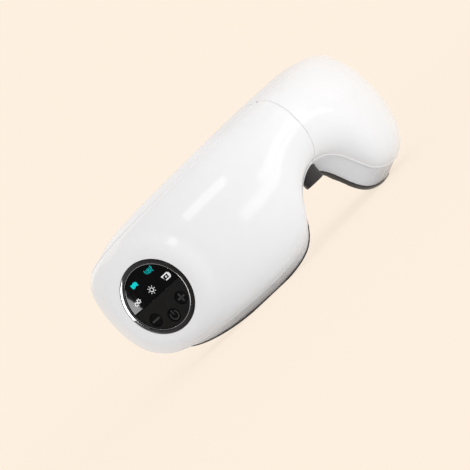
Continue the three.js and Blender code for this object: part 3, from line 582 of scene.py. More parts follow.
def bar(x0, y0, x1, y1, width):
    along = np.array([x1 - x0, y1 - y0], float)
    along /= np.linalg.norm(along)
    side = np.array([-along[1], along[0]]) * width / 2
    start, end = np.array([x0, y0]), np.array([x1, y1])
    return [start + side, start - side, end - side, end + side]


def arc(x, y, radius, width, start=0, end=359, steps=28):
    angles = np.radians(np.linspace(start, end, steps))
    outer, inner = ([(x + r * cos(a), y + r * sin(a)) for a in angles]
                    for r in (radius + width / 2, radius - width / 2))
    return outer + inner[::-1]


def rays(x, y, inner, outer, step, width):
    """Short bars round a centre, one every step in degrees."""
    turns = [(cos(a), sin(a)) for a in map(radians, range(0, 360, step))]
    return [bar(x + inner * c, y + inner * s, x + outer * c, y + outer * s, width) for c, s in turns]


def wave(x, height, sway, width):
    """A wavy upright stroke as one outline."""
    ys = np.linspace(-height / 2, height / 2, 12)
    points = np.array([(x + sway * sin(2 * pi * t / height), t) for t in ys])
    side = sideways(np.gradient(points, axis=0)) * width / 2
    return [*(points + side), *(points - side)[::-1]]


def warm_air_sign():
    """Three full strips side by side, each with a waving top and foot."""
    shapes = []
    for x0, x1 in ((-2.05, -0.82), (-0.7, 0.62), (0.74, 2.05)):
        top, foot = ([(x, 0.22 * sin(2.1 * x + 0.5) + lift) for x in np.linspace(x0, x1, 6)]
                     for lift in (1.15, -1.15))
        shapes.append(top + foot[::-1])
    return shapes


def vibration_sign():
    shapes = [arc(0, y, 0.52, 0.34) for y in (-0.62, 0.62)]
    for side in (-1, 1):
        shapes += [wave(side * 1.22, 2.3, side * 0.18, 0.34), wave(side * 2.15, 3.2, side * 0.26, 0.4)]
    return shapes


def star_sign():
    shapes = []
    for x, y in ((-1.15, -0.25), (1.15, 0.25)):
        shapes += [arc(x, y, 0.78, 0.36), *rays(x, y, 0.9, 1.35, 60, 0.48)]
    return shapes


def battery_sign():
    """A thick battery outline with its nose to the right and a small plus inside."""
    return [bar(-2.6, 1.35, 1.7, 1.35, 0.62), bar(-2.6, -1.35, 1.7, -1.35, 0.62),
            bar(-2.2, -1.1, -2.2, 1.1, 0.85),
            [(1.35, -1.66), (1.75, -1.66), (2.65, -0.75), (2.65, 0.75), (1.75, 1.66), (1.35, 1.66)],
            bar(-0.75, 0, 0.55, 0, 0.42), bar(-0.1, -0.6, -0.1, 0.6, 0.42)]


# The lit signs' places on the panel, shapes and finishes, and the keys' marks.
SIGNS = {"warm_air": ((-5.2, 11.9), warm_air_sign(), "sign_cyan"),
         "vibration": ((6.9, 12.4), vibration_sign(), "sign_teal"),
         "stars": ((-10.8, 4.3), star_sign(), "sign_white"),
         "sun": ((0.6, 4.4), [arc(0, 0, 1.05, 0.38), *rays(0, 0, 1.65, 2.3, 45, 0.34)], "sign_white"),
         "battery": ((12.2, 4.4), battery_sign(), "sign_white")}
MARKS = {"minus": [bar(-2.65, 0, 2.65, 0, 0.95)],
         "plus": [bar(-2.4, 0, 2.4, 0, 0.95), bar(0, -2.4, 0, 2.4, 0.95)],
         "power": [arc(0, -0.2, 2.3, 0.55, 130, 410, 40), bar(0, 0.1, 0, 2.75, 0.6)]}


def sign_piece(name, shapes, place, top, body, slot, look):
    """Thin printed shapes that stand on a plate."""
    points, faces = [], []
    for shape in shapes:
        start, count = len(points), len(shape)
        for height in (top, top - SIGN_DEPTH):
            points += [(x * MM, y * MM, height * MM) for x, y in shape]
        faces.append(tuple(range(start, start + count)))
        faces.append(tuple(range(start + 2 * count - 1, start + count - 1, -1)))
        for i in range(count):
            here, after = start + i, start + (i + 1) % count
            faces.append((here, after, after + count, here + count))
    piece = settle(raw_piece(name, points, [], faces), place)
    tidy_mesh(piece, 1e-7)
    fit(piece, body, slot, angle=None)
    paint(piece, look)


def panel_signs():
    for name, ((x, y), shapes, look) in SIGNS.items():
        top = window_height(hypot(x, y) - 1) + SIGN_PROUD
        sign_piece(f"lit_sign_{name}", shapes, panel_frame_at(x, y), top, "left_half", "guide_white", look)
    for name, shapes in MARKS.items():
        place, top = panel_frame_at(*BUTTONS[name]), BUTTON_FRONT + SIGN_PROUD
        sign_piece(f"{name}_mark", shapes, place, top, f"{name}_key", "keypad_dark", "mark_grey")


# The fold hinge.

CAP_LEVELS = {"lower": (25.5, 35.7), "upper": (71.3, 74.9)}
CAP_RADIUS, PIN_ROOM, BOOT_RADIUS, BOOT_LOW, BOOT_HIGH, BOOT_WALL = 5.7, 1.75, 5.7, 36.3, 70.7, 0.7
BOOT_START, BOOT_END, BOOT_PLEATS, PLEAT_DEPTH, BOOT_CUFF = 18, 162, 11, 0.36, 0.25


def hinge_cap(word):
    low, high = CAP_LEVELS[word]
    outer, inner = (low, high) if word == "lower" else (high, low)
    lean = 1 if outer > inner else -1
    pin_end = outer - lean * 0.75
    edge = [(0, 0.3), (3.6, 0.3), (3.8, 0), (CAP_RADIUS - 0.7, 0), (CAP_RADIUS - 0.2, 0.2), (CAP_RADIUS, 0.7)]
    profile = [(r, outer - lean * fall) for r, fall in edge]
    profile += [(CAP_RADIUS, inner), (PIN_ROOM, inner), (PIN_ROOM, pin_end), (0, pin_end)]
    cap = turned(f"hinge_end_{word}", profile, HINGE_FRAME, closed=False)
    carve(cap, block("driver_slot", (-2.8, -0.5, outer - 0.6), (2.8, 0.5, outer + 0.6), HINGE_FRAME))
    fit(cap, "left_half", "black_plastic", f"hinge_cap_{word}")


def pleated_boot():
    angles = np.radians(np.linspace(BOOT_START, BOOT_END, 145))
    levels = np.linspace(BOOT_LOW, BOOT_HIGH, 14)
    grid = np.empty((len(angles), len(levels), 3))
    for i, a in enumerate(angles):
        ends = min(1, min(i, len(angles) - 1 - i) / 10)
        turns = degrees(a) / (BOOT_END - BOOT_START) * 2 * pi * BOOT_PLEATS
        radius = BOOT_RADIUS - 0.42 - PLEAT_DEPTH * ends * cos(turns)
        for j, z in enumerate(levels):
            out = radius + (BOOT_CUFF if j in (0, len(levels) - 1) else 0) - 0.2
            grid[i, j] = (out * cos(a), HINGE_DEPTH + out * sin(a), z)
    boot = sheet_piece("pleated_hinge_boot", grid)
    thicken(boot, BOOT_WALL)
    smooth(boot, 60)
    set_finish(boot, "soft_rubber")
    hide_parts("hinge_boot")
    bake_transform(boot)


# Soft parts.

CUSHION_WIDTH, CUSHION_HEIGHT, CUSHION_NOSE_HEIGHT, CUSHION_BASE = 12.5, 14.0, 8.0, 13.4
CUSHION_INSET, CUSHION_NOSE, CUSHION_LEAN, CUSHION_BROW = 2.7, 28.5, 6.5, 65.7
CUSHION_HEEL, CUSHION_FLANK, CUSHION_GROWTH, CUSHION_SEED = (8.5, 7.5), (2, 32.9), (34, 62), 7
CUSHION_SECTION = [(0.06, 0), (0, 0.3), (0.02, 0.62), (0.16, 0.9), (0.38, 1), (0.62, 0.99), (0.85, 0.86),
                   (0.98, 0.55), (1, 0.25), (0.94, 0)]
PUCKER, PUCKER_PITCH, SLACK, GROOVE = 0.10, 6.2, 0.35, 0.55
CUSHION_STITCH, CUSHION_STITCH_HALF, PAD_STITCH, STITCH_SHARE = 2.6, 0.75, 2.8, 0.28
THREAD_RADIUS, THREAD_ARCH, THREAD_DIP, KNIT_PITCH = 0.17, 0.16, 0.1, 1.3

# Pads: centre, half size, base, rise, dish and the sewn channel's place as a share of the way in.
EYE_PAD = (55, 39.4), (17, 18.5), 18.2, 6.5, 2.4, 0.42
TEMPLE_PAD = (103, 40), (20, 21), 13.2, 9.0, 0, 0.36
AIRBAG = (55, 39.4), (14, 15.5), 13.2, 4.0, 0, 0.2


def cushion_controls(share):
    inset = share * CUSHION_WIDTH
    lobe = offset_line(LIP_CONTROLS, -CUSHION_INSET - inset)[1:7]
    nose = CUSHION_NOSE + share * CUSHION_LEAN
    (heel, heel_level), (flank, flank_level) = CUSHION_HEEL, CUSHION_FLANK
    return [(nose, CUSHION_BROW - inset), *map(tuple, lobe), (nose + heel, heel_level + inset),
            (nose + flank, flank_level + inset / 2)]


def cushion_height(s):
    """The cushion is lower beside the nose."""
    growth = float(smoothstep(s, *CUSHION_GROWTH))
    return CUSHION_NOSE_HEIGHT + (CUSHION_HEIGHT - CUSHION_NOSE_HEIGHT) * growth


def smooth_section(section, steps):
    """A rounded line through the section's points, open at the base."""
    points = np.array([section[0], *section, section[-1]], float)
    out = []
    for i in range(1, len(points) - 2):
        a, b, c, d = points[i - 1:i + 3]
        for t in np.arange(steps) / steps:
            out.append(0.5 * (2 * b + (c - a) * t + (2 * a - 5 * b + 4 * c - d) * t * t
                              + (3 * b - a - 3 * c + d) * t ** 3))
    out.append(points[-1])
    return np.array(out)


def cushion_point(outer, inner, side, i, across, rise):
    """A point of the cushion at place i (whole or part) of its loop."""
    count = len(outer)
    low, t = int(i) % count, i - int(i)
    o = outer[low] * (1 - t) + outer[(low + 1) % count] * t
    n = inner[low] * (1 - t) + inner[(low + 1) % count] * t
    s, z = o + (n - o) * across
    return mask_points(side * s, z, -CUSHION_BASE - rise * cushion_height(o[0]))


def face_cushion(word, side):
    outer, inner = closed_spline(cushion_controls(0), 22), closed_spline(cushion_controls(1), 22)
    section = smooth_section(CUSHION_SECTION, 4)
    count = len(outer)
    rng = np.random.default_rng(CUSHION_SEED + side)
    loose = np.cumsum(rng.normal(0, 1, (count, 4)), axis=0)
    loose -= np.linspace(0, 1, count)[:, None] * loose[-1]
    loose /= np.abs(loose).max(axis=0)
    grid = np.empty((count, len(section), 3))
    for i in range(count):
        pucker = PUCKER * sin(2 * pi * i / PUCKER_PITCH + 2.5 * loose[i, 0])
        slack = SLACK * loose[i, 1]
        for j, (across, rise) in enumerate(section):
            near_welt = exp(-((across - 0.1) / 0.1) ** 2) if rise > 0.4 else 0
            near_inner = exp(-((across - 0.93) / 0.08) ** 2) if rise > 0.4 else 0
            top = max(0.0, min(1.0, (rise - 0.3) / 0.5))
            push = top * (pucker * (near_welt + near_inner) + 0.3 * slack * (1 - near_welt))
            groove = GROOVE * exp(-((across - 0.1) / 0.035) ** 2) * (rise > 0.7)
            s, z = outer[i] + (inner[i] - outer[i]) * across
            crest = cushion_height(outer[i][0])
            height = CUSHION_BASE + min(rise * crest + push - groove, crest)
            grid[i, j] = mask_points(side * s, z, -height)
    cushion = sheet_piece(f"leather_cushion_{word}", grid, wrap_columns=True, wrap_rows=True)
    fit(cushion, f"{word}_half", "face_leather", f"face_cushion_{word}", angle=75)
    cushion_seam(word, side, outer, inner)


def cushion_seam(word, side, outer, inner):
    """A row of stitches beside the cushion's welt."""
    count = len(outer)
    places = np.array([cushion_point(outer, inner, side, i, 0.2, 0.94) for i in range(count)])
    lengths = np.linalg.norm(np.roll(places, -1, axis=0) - places, axis=1)
    walked = np.concatenate([[0], np.cumsum(lengths)])
    stitches = int(walked[-1] / CUSHION_STITCH)
    step = CUSHION_STITCH_HALF / (walked[-1] / count)
    ends = []
    for k in range(stitches):
        middle = np.interp((k + 0.5) / stitches * walked[-1], walked, np.arange(count + 1))
        ends.append([cushion_point(outer, inner, side, (middle + d) % count, 0.2, 0.925)
                     for d in (-step, step)])
    stitch_row(f"cushion_stitches_{word}", ends, side, f"{word}_half")


def stitch_row(name, ends, side, body):
    points, faces = [], []
    for start, end in ends:
        add_thread(points, faces, start, end, mask_out(start, side))
    seam = mesh_piece(name, to_metres(points), faces)
    fit(seam, body, "pad_fabric", angle=60)
    paint(seam, "seam_thread")


def mask_out(point, side):
    """The way that a soft part's surface faces at a point, roughly towards the wearer."""
    s = side * np.interp(abs(point[0]), plan_x, plan_s)
    turn = turn_at(s)
    return np.array([-sin(turn), cos(turn), 0])


def add_thread(points, faces, start, end, up):
    """One stitch: a short thread that arches out of the cloth and dips in at both ends."""
    along = end - start
    length = np.linalg.norm(along)
    along /= length
    cross = np.cross(along, up)
    cross /= np.linalg.norm(cross)
    up = np.cross(cross, along)
    first = len(points)
    for t in (0, 0.2, 0.5, 0.8, 1):
        centre = start + along * length * t + up * (sin(pi * t) * THREAD_ARCH - THREAD_DIP)
        width = THREAD_RADIUS * (0.55 if t in (0, 1) else 1)
        for a in np.arange(6) * pi / 3:
            points.append(centre + (cross * cos(a) + up * sin(a)) * width)
    for ring in range(4):
        for a in range(6):
            p, q = first + ring * 6 + a, first + ring * 6 + (a + 1) % 6
            faces.append((p, q, q + 6, p + 6))
    faces.append(tuple(first + a for a in range(5, -1, -1)))
    faces.append(tuple(first + 24 + a for a in range(6)))


def pad_rise(share, rise, dish, channel):
    crown = np.sin(np.minimum(1, share * 1.7) * pi / 2)
    height = rise * (0.35 + 0.65 * crown) - dish * smoothstep(share, 0.45, 1)
    return height - 0.7 * np.exp(-((share - channel) / 0.035) ** 2)


def oval_pad(name, side, place, half, base, rise, dish, channel, slot, node, body, fill):
    """A crowned oval pad with one sewn channel, and a UV map in thread pitches."""
    turns = np.linspace(0, 2 * pi, 120, endpoint=False)
    rings, flats = [], []

    def ring(shrink, inset, height):
        s = place[0] + (half[0] - inset) * shrink * np.cos(turns)
        z = place[1] + (half[1] - inset) * shrink * np.sin(turns)
        rings.append(mask_points(side * s, z, -base - height))
        flats.append(np.stack([s, z], axis=1))

    for shrink in (0.02, 0.5, 0.9, 1):
        ring(shrink, 1.0, 0)
    ring(1, 0.55, rise * 0.08)
    ring(1, 0.1, rise * 0.2)
    for share in [*np.linspace(0, 0.3, 9), *np.linspace(0.33, 0.94, 26), 0.97, 0.99]:
        ring(1 - share, 0, pad_rise(share, rise, dish, channel))
    grid = np.stack(rings, axis=1)
    columns, rows = grid.shape[:2]
    faces = grid_faces(columns, rows, wrap_columns=True)
    for row, order in ((0, 1), (rows - 1, -1)):
        faces.append(tuple(i * rows + row for i in range(columns))[::order])
    pad = raw_piece(name, to_metres(grid.reshape(-1, 3)), [], faces)
    flat = np.stack(flats, axis=1).reshape(-1, 2) / KNIT_PITCH
    threads = pad.data.uv_layers.new(name="threads")
    for loop in pad.data.loops:
        threads.data[loop.index].uv = flat[loop.vertex_index]
    edit_all(pad, face_outwards)
    fit(pad, body, slot, node, angle=70)


def pad_stitches(name, side, place, half, base, rise, dish, channel, body):
    reach = [size * (1 - channel) for size in half]
    count = int(2 * pi * (1 - channel) * sum(half) / 2 / PAD_STITCH)
    height = float(pad_rise(np.array(channel), rise, dish, channel)) + 0.1
    ends = []
    for k in range(count):
        turns = [2 * pi * (k + t) / count for t in (-STITCH_SHARE, STITCH_SHARE)]
        places = [(place[0] + reach[0] * cos(a), place[1] + reach[1] * sin(a)) for a in turns]
        ends.append([mask_points(side * s, z, -base - height) for s, z in places])
    stitch_row(name, ends, side, body)


def soft_parts(word, side):
    face_cushion(word, side)
    half = f"{word}_half"
    for kind, form, body, fill in (("eye", EYE_PAD, f"eye_pad_{word}_body", 0.6),
                                   ("temple", TEMPLE_PAD, half, 0.7)):
        oval_pad(f"mesh_{kind}_pad_{word}", side, *form, "pad_fabric", f"{kind}_pad_{word}", body, fill)
        pad_stitches(f"{kind}_pad_stitches_{word}", side, *form, body)
    oval_pad(f"air_cushion_bag_{word}", side, *AIRBAG, "soft_rubber", f"airbag_{word}", half, 0.3)

# Screws.

SCREW_HEAD = [(0, -0.25), (1.2, -0.22), (1.9, -0.42), (2.2, -0.75), (2.2, -1.3), (1.2, -1.3)]
SCREW_TIP = [(1.2, 6.4), (0.8, 5.8), (0, 5.8)]


def frame_screws(word, side):
    """Three countersunk screws with a cross recess, one shape copied to each seat."""
    profile = [(radius, FRAME_FLOOR + height) for radius, height in SCREW_HEAD] + SCREW_TIP
    pattern = turned("screw_pattern", profile, Matrix.Identity(4), closed=False, steps=40)
    for turn in (0, 90):
        lean = Matrix.Rotation(radians(turn + 20), 4, "Z")
        carve(pattern, block("recess", (-1.3, -0.22, FRAME_FLOOR - 0.9), (1.3, 0.22, FRAME_FLOOR + 1), lean))
    smooth(pattern)
    for i, (s, z) in enumerate(SCREW_PLACES):
        screw = pattern.copy()
        screw.data = pattern.data.copy()
        screw.name = f"cross_screw_{word}_{i + 1}"
        bpy.context.scene.collection.objects.link(screw)
        settle(screw, mask_frame(side, s, z) @ SCREW_TURN)
        fit(screw, f"{word}_half", "steel", f"frame_screw_{word}_{i + 1}", angle=None)
    bpy.data.objects.remove(pattern, do_unlink=True)


# Finishes.

SPECULAR = "Specular IOR Level"


class Shading:
    """A node tree."""

    def __init__(self, tree):
        self.nodes, self.links = tree.nodes, tree.links

    def node(self, kind, inputs=(), **settings):
        node = self.nodes.new(kind)
        for key, value in settings.items():
            setattr(node, key, value)
        for key, value in dict(inputs).items():
            if isinstance(value, bpy.types.NodeSocket):
                self.links.new(value, node.inputs[key])
            else:
                node.inputs[key].default_value = value
        return node

    def maths(self, operation, *values):
        return self.node("ShaderNodeMath", dict(enumerate(values)), operation=operation).outputs[0]

    def mixed(self, share, first, second):
        return self.node("ShaderNodeMixShader", {0: share, 1: first, 2: second}).outputs[0]

    def direct_rays(self):
        """1 for rays that meet the backdrop from the camera or off gloss or glass."""
        rays_of = self.node("ShaderNodeLightPath").outputs
        seen = self.maths("MAXIMUM", rays_of["Is Camera Ray"], rays_of["Is Glossy Ray"])
        return self.maths("MAXIMUM", seen, rays_of["Is Transmission Ray"])


class Finish(Shading):
    """A procedural finish on Object coordinates, which are metres."""

    def __init__(self, name, colour, roughness, sockets=()):
        self.material = bpy.data.materials.new(name)
        self.material.use_nodes = True
        super().__init__(self.material.node_tree)
        self.shader = self.nodes["Principled BSDF"]
        inputs = {"Base Color": (*colour, 1), "Roughness": roughness, **dict(sockets)}
        for key, value in inputs.items():
            self.shader.inputs[key].default_value = value
        self.place = self.nodes.new("ShaderNodeTexCoord").outputs["Object"]

    def noise(self, scale, detail=2.0, stretch=None):
        place = self.place
        if stretch:
            place = self.node("ShaderNodeMapping", {"Vector": place, "Scale": stretch}).outputs[0]
        inputs = {"Vector": place, "Scale": scale, "Detail": detail}
        return self.node("ShaderNodeTexNoise", inputs).outputs["Fac"]

    def ranged(self, value, low, high, start=0.35, end=0.65):
        """Maps the middle of a pattern to a range."""
        inputs = {"Value": value, "From Min": start, "From Max": end, "To Min": low, "To Max": high}
        return self.node("ShaderNodeMapRange", inputs).outputs[0]

    def colours(self, value, low, high, start=0.3, end=0.7):
        ramp = self.node("ShaderNodeValToRGB", {"Fac": value})
        for stop, place, colour in zip(ramp.color_ramp.elements, (start, end), (low, high)):
            stop.position, stop.color = place, (*colour, 1)
        self.links.new(ramp.outputs[0], self.shader.inputs["Base Color"])
        return self

    def gloss(self, value, low, high):
        self.links.new(self.ranged(value, low, high), self.shader.inputs["Roughness"])
        return self

    def relief(self, value, strength, distance):
        bump = self.node("ShaderNodeBump", {"Height": value, "Strength": strength, "Distance": distance * MM})
        self.links.new(bump.outputs[0], self.shader.inputs["Normal"])
        return self


def moulded(name, colour, shift, roughness, spread, grain, depth, specular=0.5, coat=()):
    """Moulded plastic: slightly uneven colour and gloss over a fine even grain."""
    finish = Finish(name, colour, roughness, {SPECULAR: specular, **dict(coat)})
    lighter = [min(1, c * (1 + shift)) for c in colour]
    finish.colours(finish.noise(45, 3), [c * (1 - shift) for c in colour], lighter)
    finish.gloss(finish.noise(120, 4), roughness - spread, roughness + spread)
    return finish.relief(finish.noise(grain, 2), 0.5, depth)


def metal(name, colour, roughness, stretch=(1, 1, 30)):
    finish = Finish(name, colour, roughness, {"Metallic": 1.0})
    finish.colours(finish.noise(200, 3), [c * 0.9 for c in colour], colour)
    finish.gloss(finish.noise(60, 4, stretch), roughness * 0.7, roughness * 1.4)
    return finish.relief(finish.noise(300, 3, stretch), 0.4, 0.01)


def leather():
    finish = Finish("face_leather", (0.028, 0.028, 0.031), 0.5, {SPECULAR: 0.45})
    cells = finish.node("ShaderNodeTexVoronoi", {"Vector": finish.place, "Scale": 780.0, "Randomness": 0.9},
                        feature="DISTANCE_TO_EDGE").outputs["Distance"]
    pebbles = finish.ranged(cells, 0, 1, 0.0, 0.28)
    finish.colours(pebbles, (0.016, 0.016, 0.018), (0.033, 0.033, 0.037), 0.1, 0.8)
    finish.gloss(finish.noise(300, 3), 0.42, 0.6)
    height = finish.maths("ADD", pebbles, finish.ranged(finish.noise(160, 4), 0, 0.6))
    return finish.relief(height, 0.7, 0.12)


def mesh_fabric():
    """Open mesh knit that follows the pad's own thread map."""
    finish = Finish("pad_fabric", (0.07, 0.072, 0.08), 0.9, {"Sheen Weight": 0.35, "Sheen Roughness": 0.45})
    threads = finish.node("ShaderNodeUVMap", uv_map="threads").outputs[0]
    parts = finish.node("ShaderNodeSeparateXYZ", {0: threads})
    waves = [finish.maths("SINE", finish.maths("MULTIPLY", parts.outputs[axis], 2 * pi)) for axis in "XY"]
    knit = finish.maths("MULTIPLY", *waves)
    level = finish.ranged(knit, 0, 1, -0.9, 0.35)
    finish.colours(level, (0.008, 0.008, 0.009), (0.085, 0.087, 0.096), 0.15, 0.85)
    fuzz = finish.maths("ADD", level, finish.ranged(finish.noise(2500, 2), 0, 0.35))
    return finish.relief(fuzz, 0.8, 0.18)


def rubber():
    finish = Finish("soft_rubber", (0.017, 0.017, 0.019), 0.62)
    finish.colours(finish.noise(90, 3), (0.013, 0.013, 0.014), (0.021, 0.021, 0.023))
    finish.gloss(finish.noise(400, 2), 0.55, 0.72)
    return finish.relief(finish.noise(1500, 2), 0.3, 0.03)


def circuit_board():
    finish = Finish("board_green", (0.014, 0.1, 0.04), 0.4)
    inputs = {"Vector": finish.place, "Scale": 120.0, "Mortar Size": 0.03, "Color1": (0.012, 0.09, 0.035, 1),
              "Color2": (0.016, 0.12, 0.045, 1), "Mortar": (0.05, 0.2, 0.07, 1)}
    tracks = finish.node("ShaderNodeTexBrick", inputs)
    finish.links.new(tracks.outputs["Color"], finish.shader.inputs["Base Color"])
    return finish.relief(tracks.outputs["Fac"], 0.3, 0.03)


def printed_film():
    finish = Finish("heating_film", (0.32, 0.34, 0.36), 0.45)
    lines = finish.node("ShaderNodeTexWave", {"Vector": finish.place, "Scale": 90.0, "Distortion": 0.0},
                        bands_direction="Z").outputs["Fac"]
    finish.colours(lines, (0.42, 0.2, 0.09), (0.34, 0.36, 0.38), 0.2, 0.3)
    return finish.relief(lines, 0.2, 0.02)


def glowing(name, colour):
    """Printed sign with light behind it, a little uneven across its area."""
    finish = Finish(name, [0.004] * 3, 0.4, {SPECULAR: 0.05, "Emission Color": (*colour, 1)})
    level = finish.ranged(finish.noise(900, 1), 0.85, 1.1)
    finish.links.new(level, finish.shader.inputs["Emission Strength"])
    return finish


# Colour and its spread, roughness and its spread, the grain's scale and depth, specular level and coat.
MOULDED = {
    "shell_white": ((0.86, 0.858, 0.858), 0.008, 0.11, 0.015, 260, 0.002, 0.35,
                    {"Coat Weight": 0.25, "Coat Roughness": 0.03}),
    # The rim wall's white is the shell's white made a little darker: painted shade on the wall band.
    "rim_white": ((0.84, 0.838, 0.838), 0.008, 0.26, 0.03, 260, 0.002, 0.2),
    "black_plastic": ((0.02, 0.02, 0.022), 0.15, 0.38, 0.05, 2200, 0.02),
    "bezel_black": ((0.004, 0.004, 0.0045), 0.1, 0.1, 0.015, 900, 0.001, 0.18),
    "display_black": ((0.0006, 0.0006, 0.0007), 0.1, 0.05, 0.01, 300, 0.0005, 0.035),
    "keypad_dark": ((0.011, 0.011, 0.011), 0.08, 0.6, 0.04, 3000, 0.02, 0.06),
    "button_black": ((0.0025, 0.0025, 0.003), 0.1, 0.5, 0.04, 2600, 0.01, 0.05),
    "guide_white": ((0.66, 0.66, 0.62), 0.03, 0.5, 0.05, 500, 0.01),
    "mark_grey": ((0.046, 0.046, 0.046), 0.1, 0.5, 0.04, 2000, 0.01, 0.1),
    "seam_thread": ((0.045, 0.045, 0.05), 0.2, 0.7, 0.08, 3000, 0.02),
}
METALS = {"trim_grey": ((0.27, 0.31, 0.36), 0.2), "steel": ((0.5, 0.51, 0.52), 0.28),
          "cell_silver": ((0.42, 0.43, 0.45), 0.4, (1, 20, 1)), "brass": ((0.6, 0.42, 0.16), 0.3)}
GLOWS = {"sign_cyan": (0.0, 0.66, 0.66), "sign_teal": (0.0, 0.44, 0.44), "sign_white": (0.85, 0.86, 0.86)}
FINISHES = {
    **{name: moulded(name, *look) for name, look in MOULDED.items()},
    **{name: metal(name, *look) for name, look in METALS.items()},
    **{name: glowing(name, colour) for name, colour in GLOWS.items()},
    "face_leather": leather(), "pad_fabric": mesh_fabric(), "soft_rubber": rubber(),
    "heating_film": printed_film(), "board_green": circuit_board(),
}


def paint(piece, finish):
    piece.data.materials.clear()
    piece.data.materials.append(FINISHES[finish].material)


def paint_everything():
    """CAD nodes keep their slots, and a new piece without a finish of its own takes its slot's."""
    for node in frame["nodes"].values():
        for slot in node.material_slots:
            slot.material = FINISHES[slot.material.name.split(".")[0]].material
    for piece in bpy.data.objects:
        if piece.type == "MESH" and not piece.data.materials and piece.get("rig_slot"):
            paint(piece, piece["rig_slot"])


# Building the dressed part.

for word, side in SIDES.items():
    for dress in (front_cover, rim_wall, parting_bead, rear_tray, frame_screws, soft_parts):
        dress(word, side)
bezel_ring()
display_window()
keypad()
for button in BUTTONS:
    key_button(button)
panel_signs()
for end in CAP_LEVELS:
    hinge_cap(end)
pleated_boot()
paint_everything()

# The camera, from the photograph's own view.

VIEW_AZIMUTH, VIEW_RISE, VIEW_ROLL = radians(39.22), radians(-0.8), radians(43.27)
VIEW_DISTANCE, PIXELS_PER_MM, FRAME_PIXELS, SENSOR_WIDTH = 1300.0, 1.97, 470, 36
BRIDGE_PLACE, BRIDGE_PIXEL = (0, 0, 51.3), (289.41, 137.93)

forward = Vector((sin(VIEW_AZIMUTH) * cos(VIEW_RISE), cos(VIEW_AZIMUTH) * cos(VIEW_RISE), sin(VIEW_RISE)))
right = Vector((cos(VIEW_AZIMUTH), -sin(VIEW_AZIMUTH), 0))
up = right.cross(forward)
bridge = Vector(to_metres(BRIDGE_PLACE))


def place_camera():
    dx, dy = (FRAME_PIXELS / 2 - q for q in BRIDGE_PIXEL)
    across = dx * cos(VIEW_ROLL) - dy * sin(VIEW_ROLL)
    down = dx * sin(VIEW_ROLL) + dy * cos(VIEW_ROLL)
    focal = PIXELS_PER_MM * VIEW_DISTANCE
    aim = (forward + right * (across / focal) - up * (down / focal)).normalized()
    top = up * cos(VIEW_ROLL) + right * sin(VIEW_ROLL)
    side = aim.cross(top).normalized()
    top = side.cross(aim)
    bpy.ops.object.camera_add()
    camera = bpy.context.object
    camera.name = "camera"
    turn = Matrix((side, top, -aim)).transposed().to_4x4()
    camera.matrix_world = Matrix.Translation(bridge - forward * VIEW_DISTANCE * MM) @ turn
    camera.data.sensor_width = SENSOR_WIDTH
    camera.data.lens = focal / FRAME_PIXELS * SENSOR_WIDTH
    camera.data.clip_start, camera.data.clip_end = 0.01, 50
    bpy.context.scene.camera = camera


# The floor, the backdrop and soft light.

BACKDROP, AMBIENT_TINT, AMBIENT = (0.991, 0.871, 0.745), (0.985, 0.985, 1), 0.82
FLOOR_SIZE, FLOOR_BOUNCE, SHADOW_SHARE, SHADOW_FADE = 40, (0.94, 0.94, 0.94), 0.15, (0.25, 1.4)

# Lamps: direction, distance, size (metres), power (watts) and, for the panel's card, what it looks at.
LAMPS = {"key_softbox": ((0.45, -0.85, 0.3), 1.8, (1.5, 1.5), 3.4),
         "low_fill": ((0.4, -1, 0.08), 1.2, (1.1, 0.18), 1.0),
         "band_strip": ((0.25, -0.965, -0.06), 0.35, (0.6, 0.036), 0.13),
         "right_fill": ((0.95, -0.35, 0.2), 1.6, (1.2, 0.5), 0.35),
         "streak_strip": ((-0.43, -0.74, 0.5), 1.4, (0.72, 0.26), 1.4),
         "rear_fill": ((0.3, 1, 0.8), 1.6, (1.2, 1.2), 2),
         "panel_strip": ((-0.64, 0.768, 0), 0.9, (1.17, 0.8), 260, to_metres(panel_origin))}

# Reflector cards light only these pieces.
CARDS = {"band_strip": ("glossy_cover_left", "glossy_cover_right"),
         "panel_strip": ("bezel_ring", "glossy_window")}
PANEL_CARD_TURN = radians(-39)


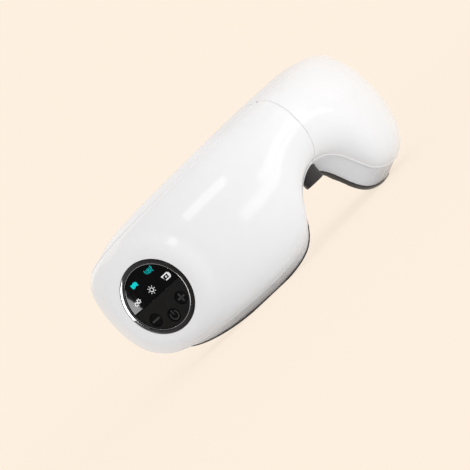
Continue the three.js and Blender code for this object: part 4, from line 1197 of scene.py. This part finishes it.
def studio_world():
    world = bpy.data.worlds.new("studio")
    bpy.context.scene.world = world
    world.use_nodes = True
    shading = Shading(world.node_tree)
    light = shading.nodes["Background"]
    light.inputs["Color"].default_value = (*AMBIENT_TINT, 1)
    light.inputs["Strength"].default_value = AMBIENT
    shown = shading.node("ShaderNodeBackground", {"Color": (*BACKDROP, 1)}).outputs[0]
    surface = shading.mixed(shading.direct_rays(), light.outputs[0], shown)
    shading.links.new(surface, shading.nodes["World Output"].inputs["Surface"])


def studio_floor():
    """A pale floor that shows the backdrop's colour and keeps a share of the object's shadow."""
    clear_selection()
    bpy.ops.mesh.primitive_plane_add(size=FLOOR_SIZE)
    floor = bpy.context.object
    floor.name = "studio_floor"
    finish = Finish("floor", BACKDROP, 0.9, {SPECULAR: 0.0})
    reach = finish.node("ShaderNodeVectorMath", {0: finish.place}, operation="LENGTH").outputs["Value"]
    near = finish.ranged(reach, SHADOW_SHARE, 0, *SHADOW_FADE)
    glow = finish.node("ShaderNodeEmission", {"Color": (*BACKDROP, 1)}).outputs[0]
    bounce = finish.node("ShaderNodeBsdfDiffuse", {"Color": (*FLOOR_BOUNCE, 1)}).outputs[0]
    seen = finish.mixed(near, glow, finish.shader.outputs[0])
    surface = finish.mixed(finish.direct_rays(), bounce, seen)
    finish.links.new(surface, finish.nodes["Material Output"].inputs["Surface"])
    floor.data.materials.append(finish.material)


def softbox(name, direction, distance, size, power, target=(0, 0, 0.045)):
    """An area lamp that looks at the object from a direction."""
    spot = Vector(target) + Vector(direction).normalized() * distance
    bpy.ops.object.light_add(type="AREA", location=spot)
    lamp = bpy.context.object
    lamp.name = name
    lamp.rotation_euler = (Vector(target) - spot).to_track_quat("-Z", "Y").to_euler()
    lamp.data.shape = "RECTANGLE"
    lamp.data.size, lamp.data.size_y = size
    lamp.data.energy = power
    lamp.visible_camera = False
    return lamp


clear_selection()
place_camera()
studio_world()
studio_floor()
lamps = {name: softbox(name, *look) for name, look in LAMPS.items()}
for card, pieces in CARDS.items():
    lit = bpy.data.collections.new(f"{card}_pieces")
    for piece in pieces:
        lit.objects.link(bpy.data.objects[piece])
    lamps[card].light_linking.receiver_collection = lit
lamps["panel_strip"].rotation_euler.rotate_axis("Z", PANEL_CARD_TURN)

bpy.context.scene.view_settings.view_transform = "Standard"
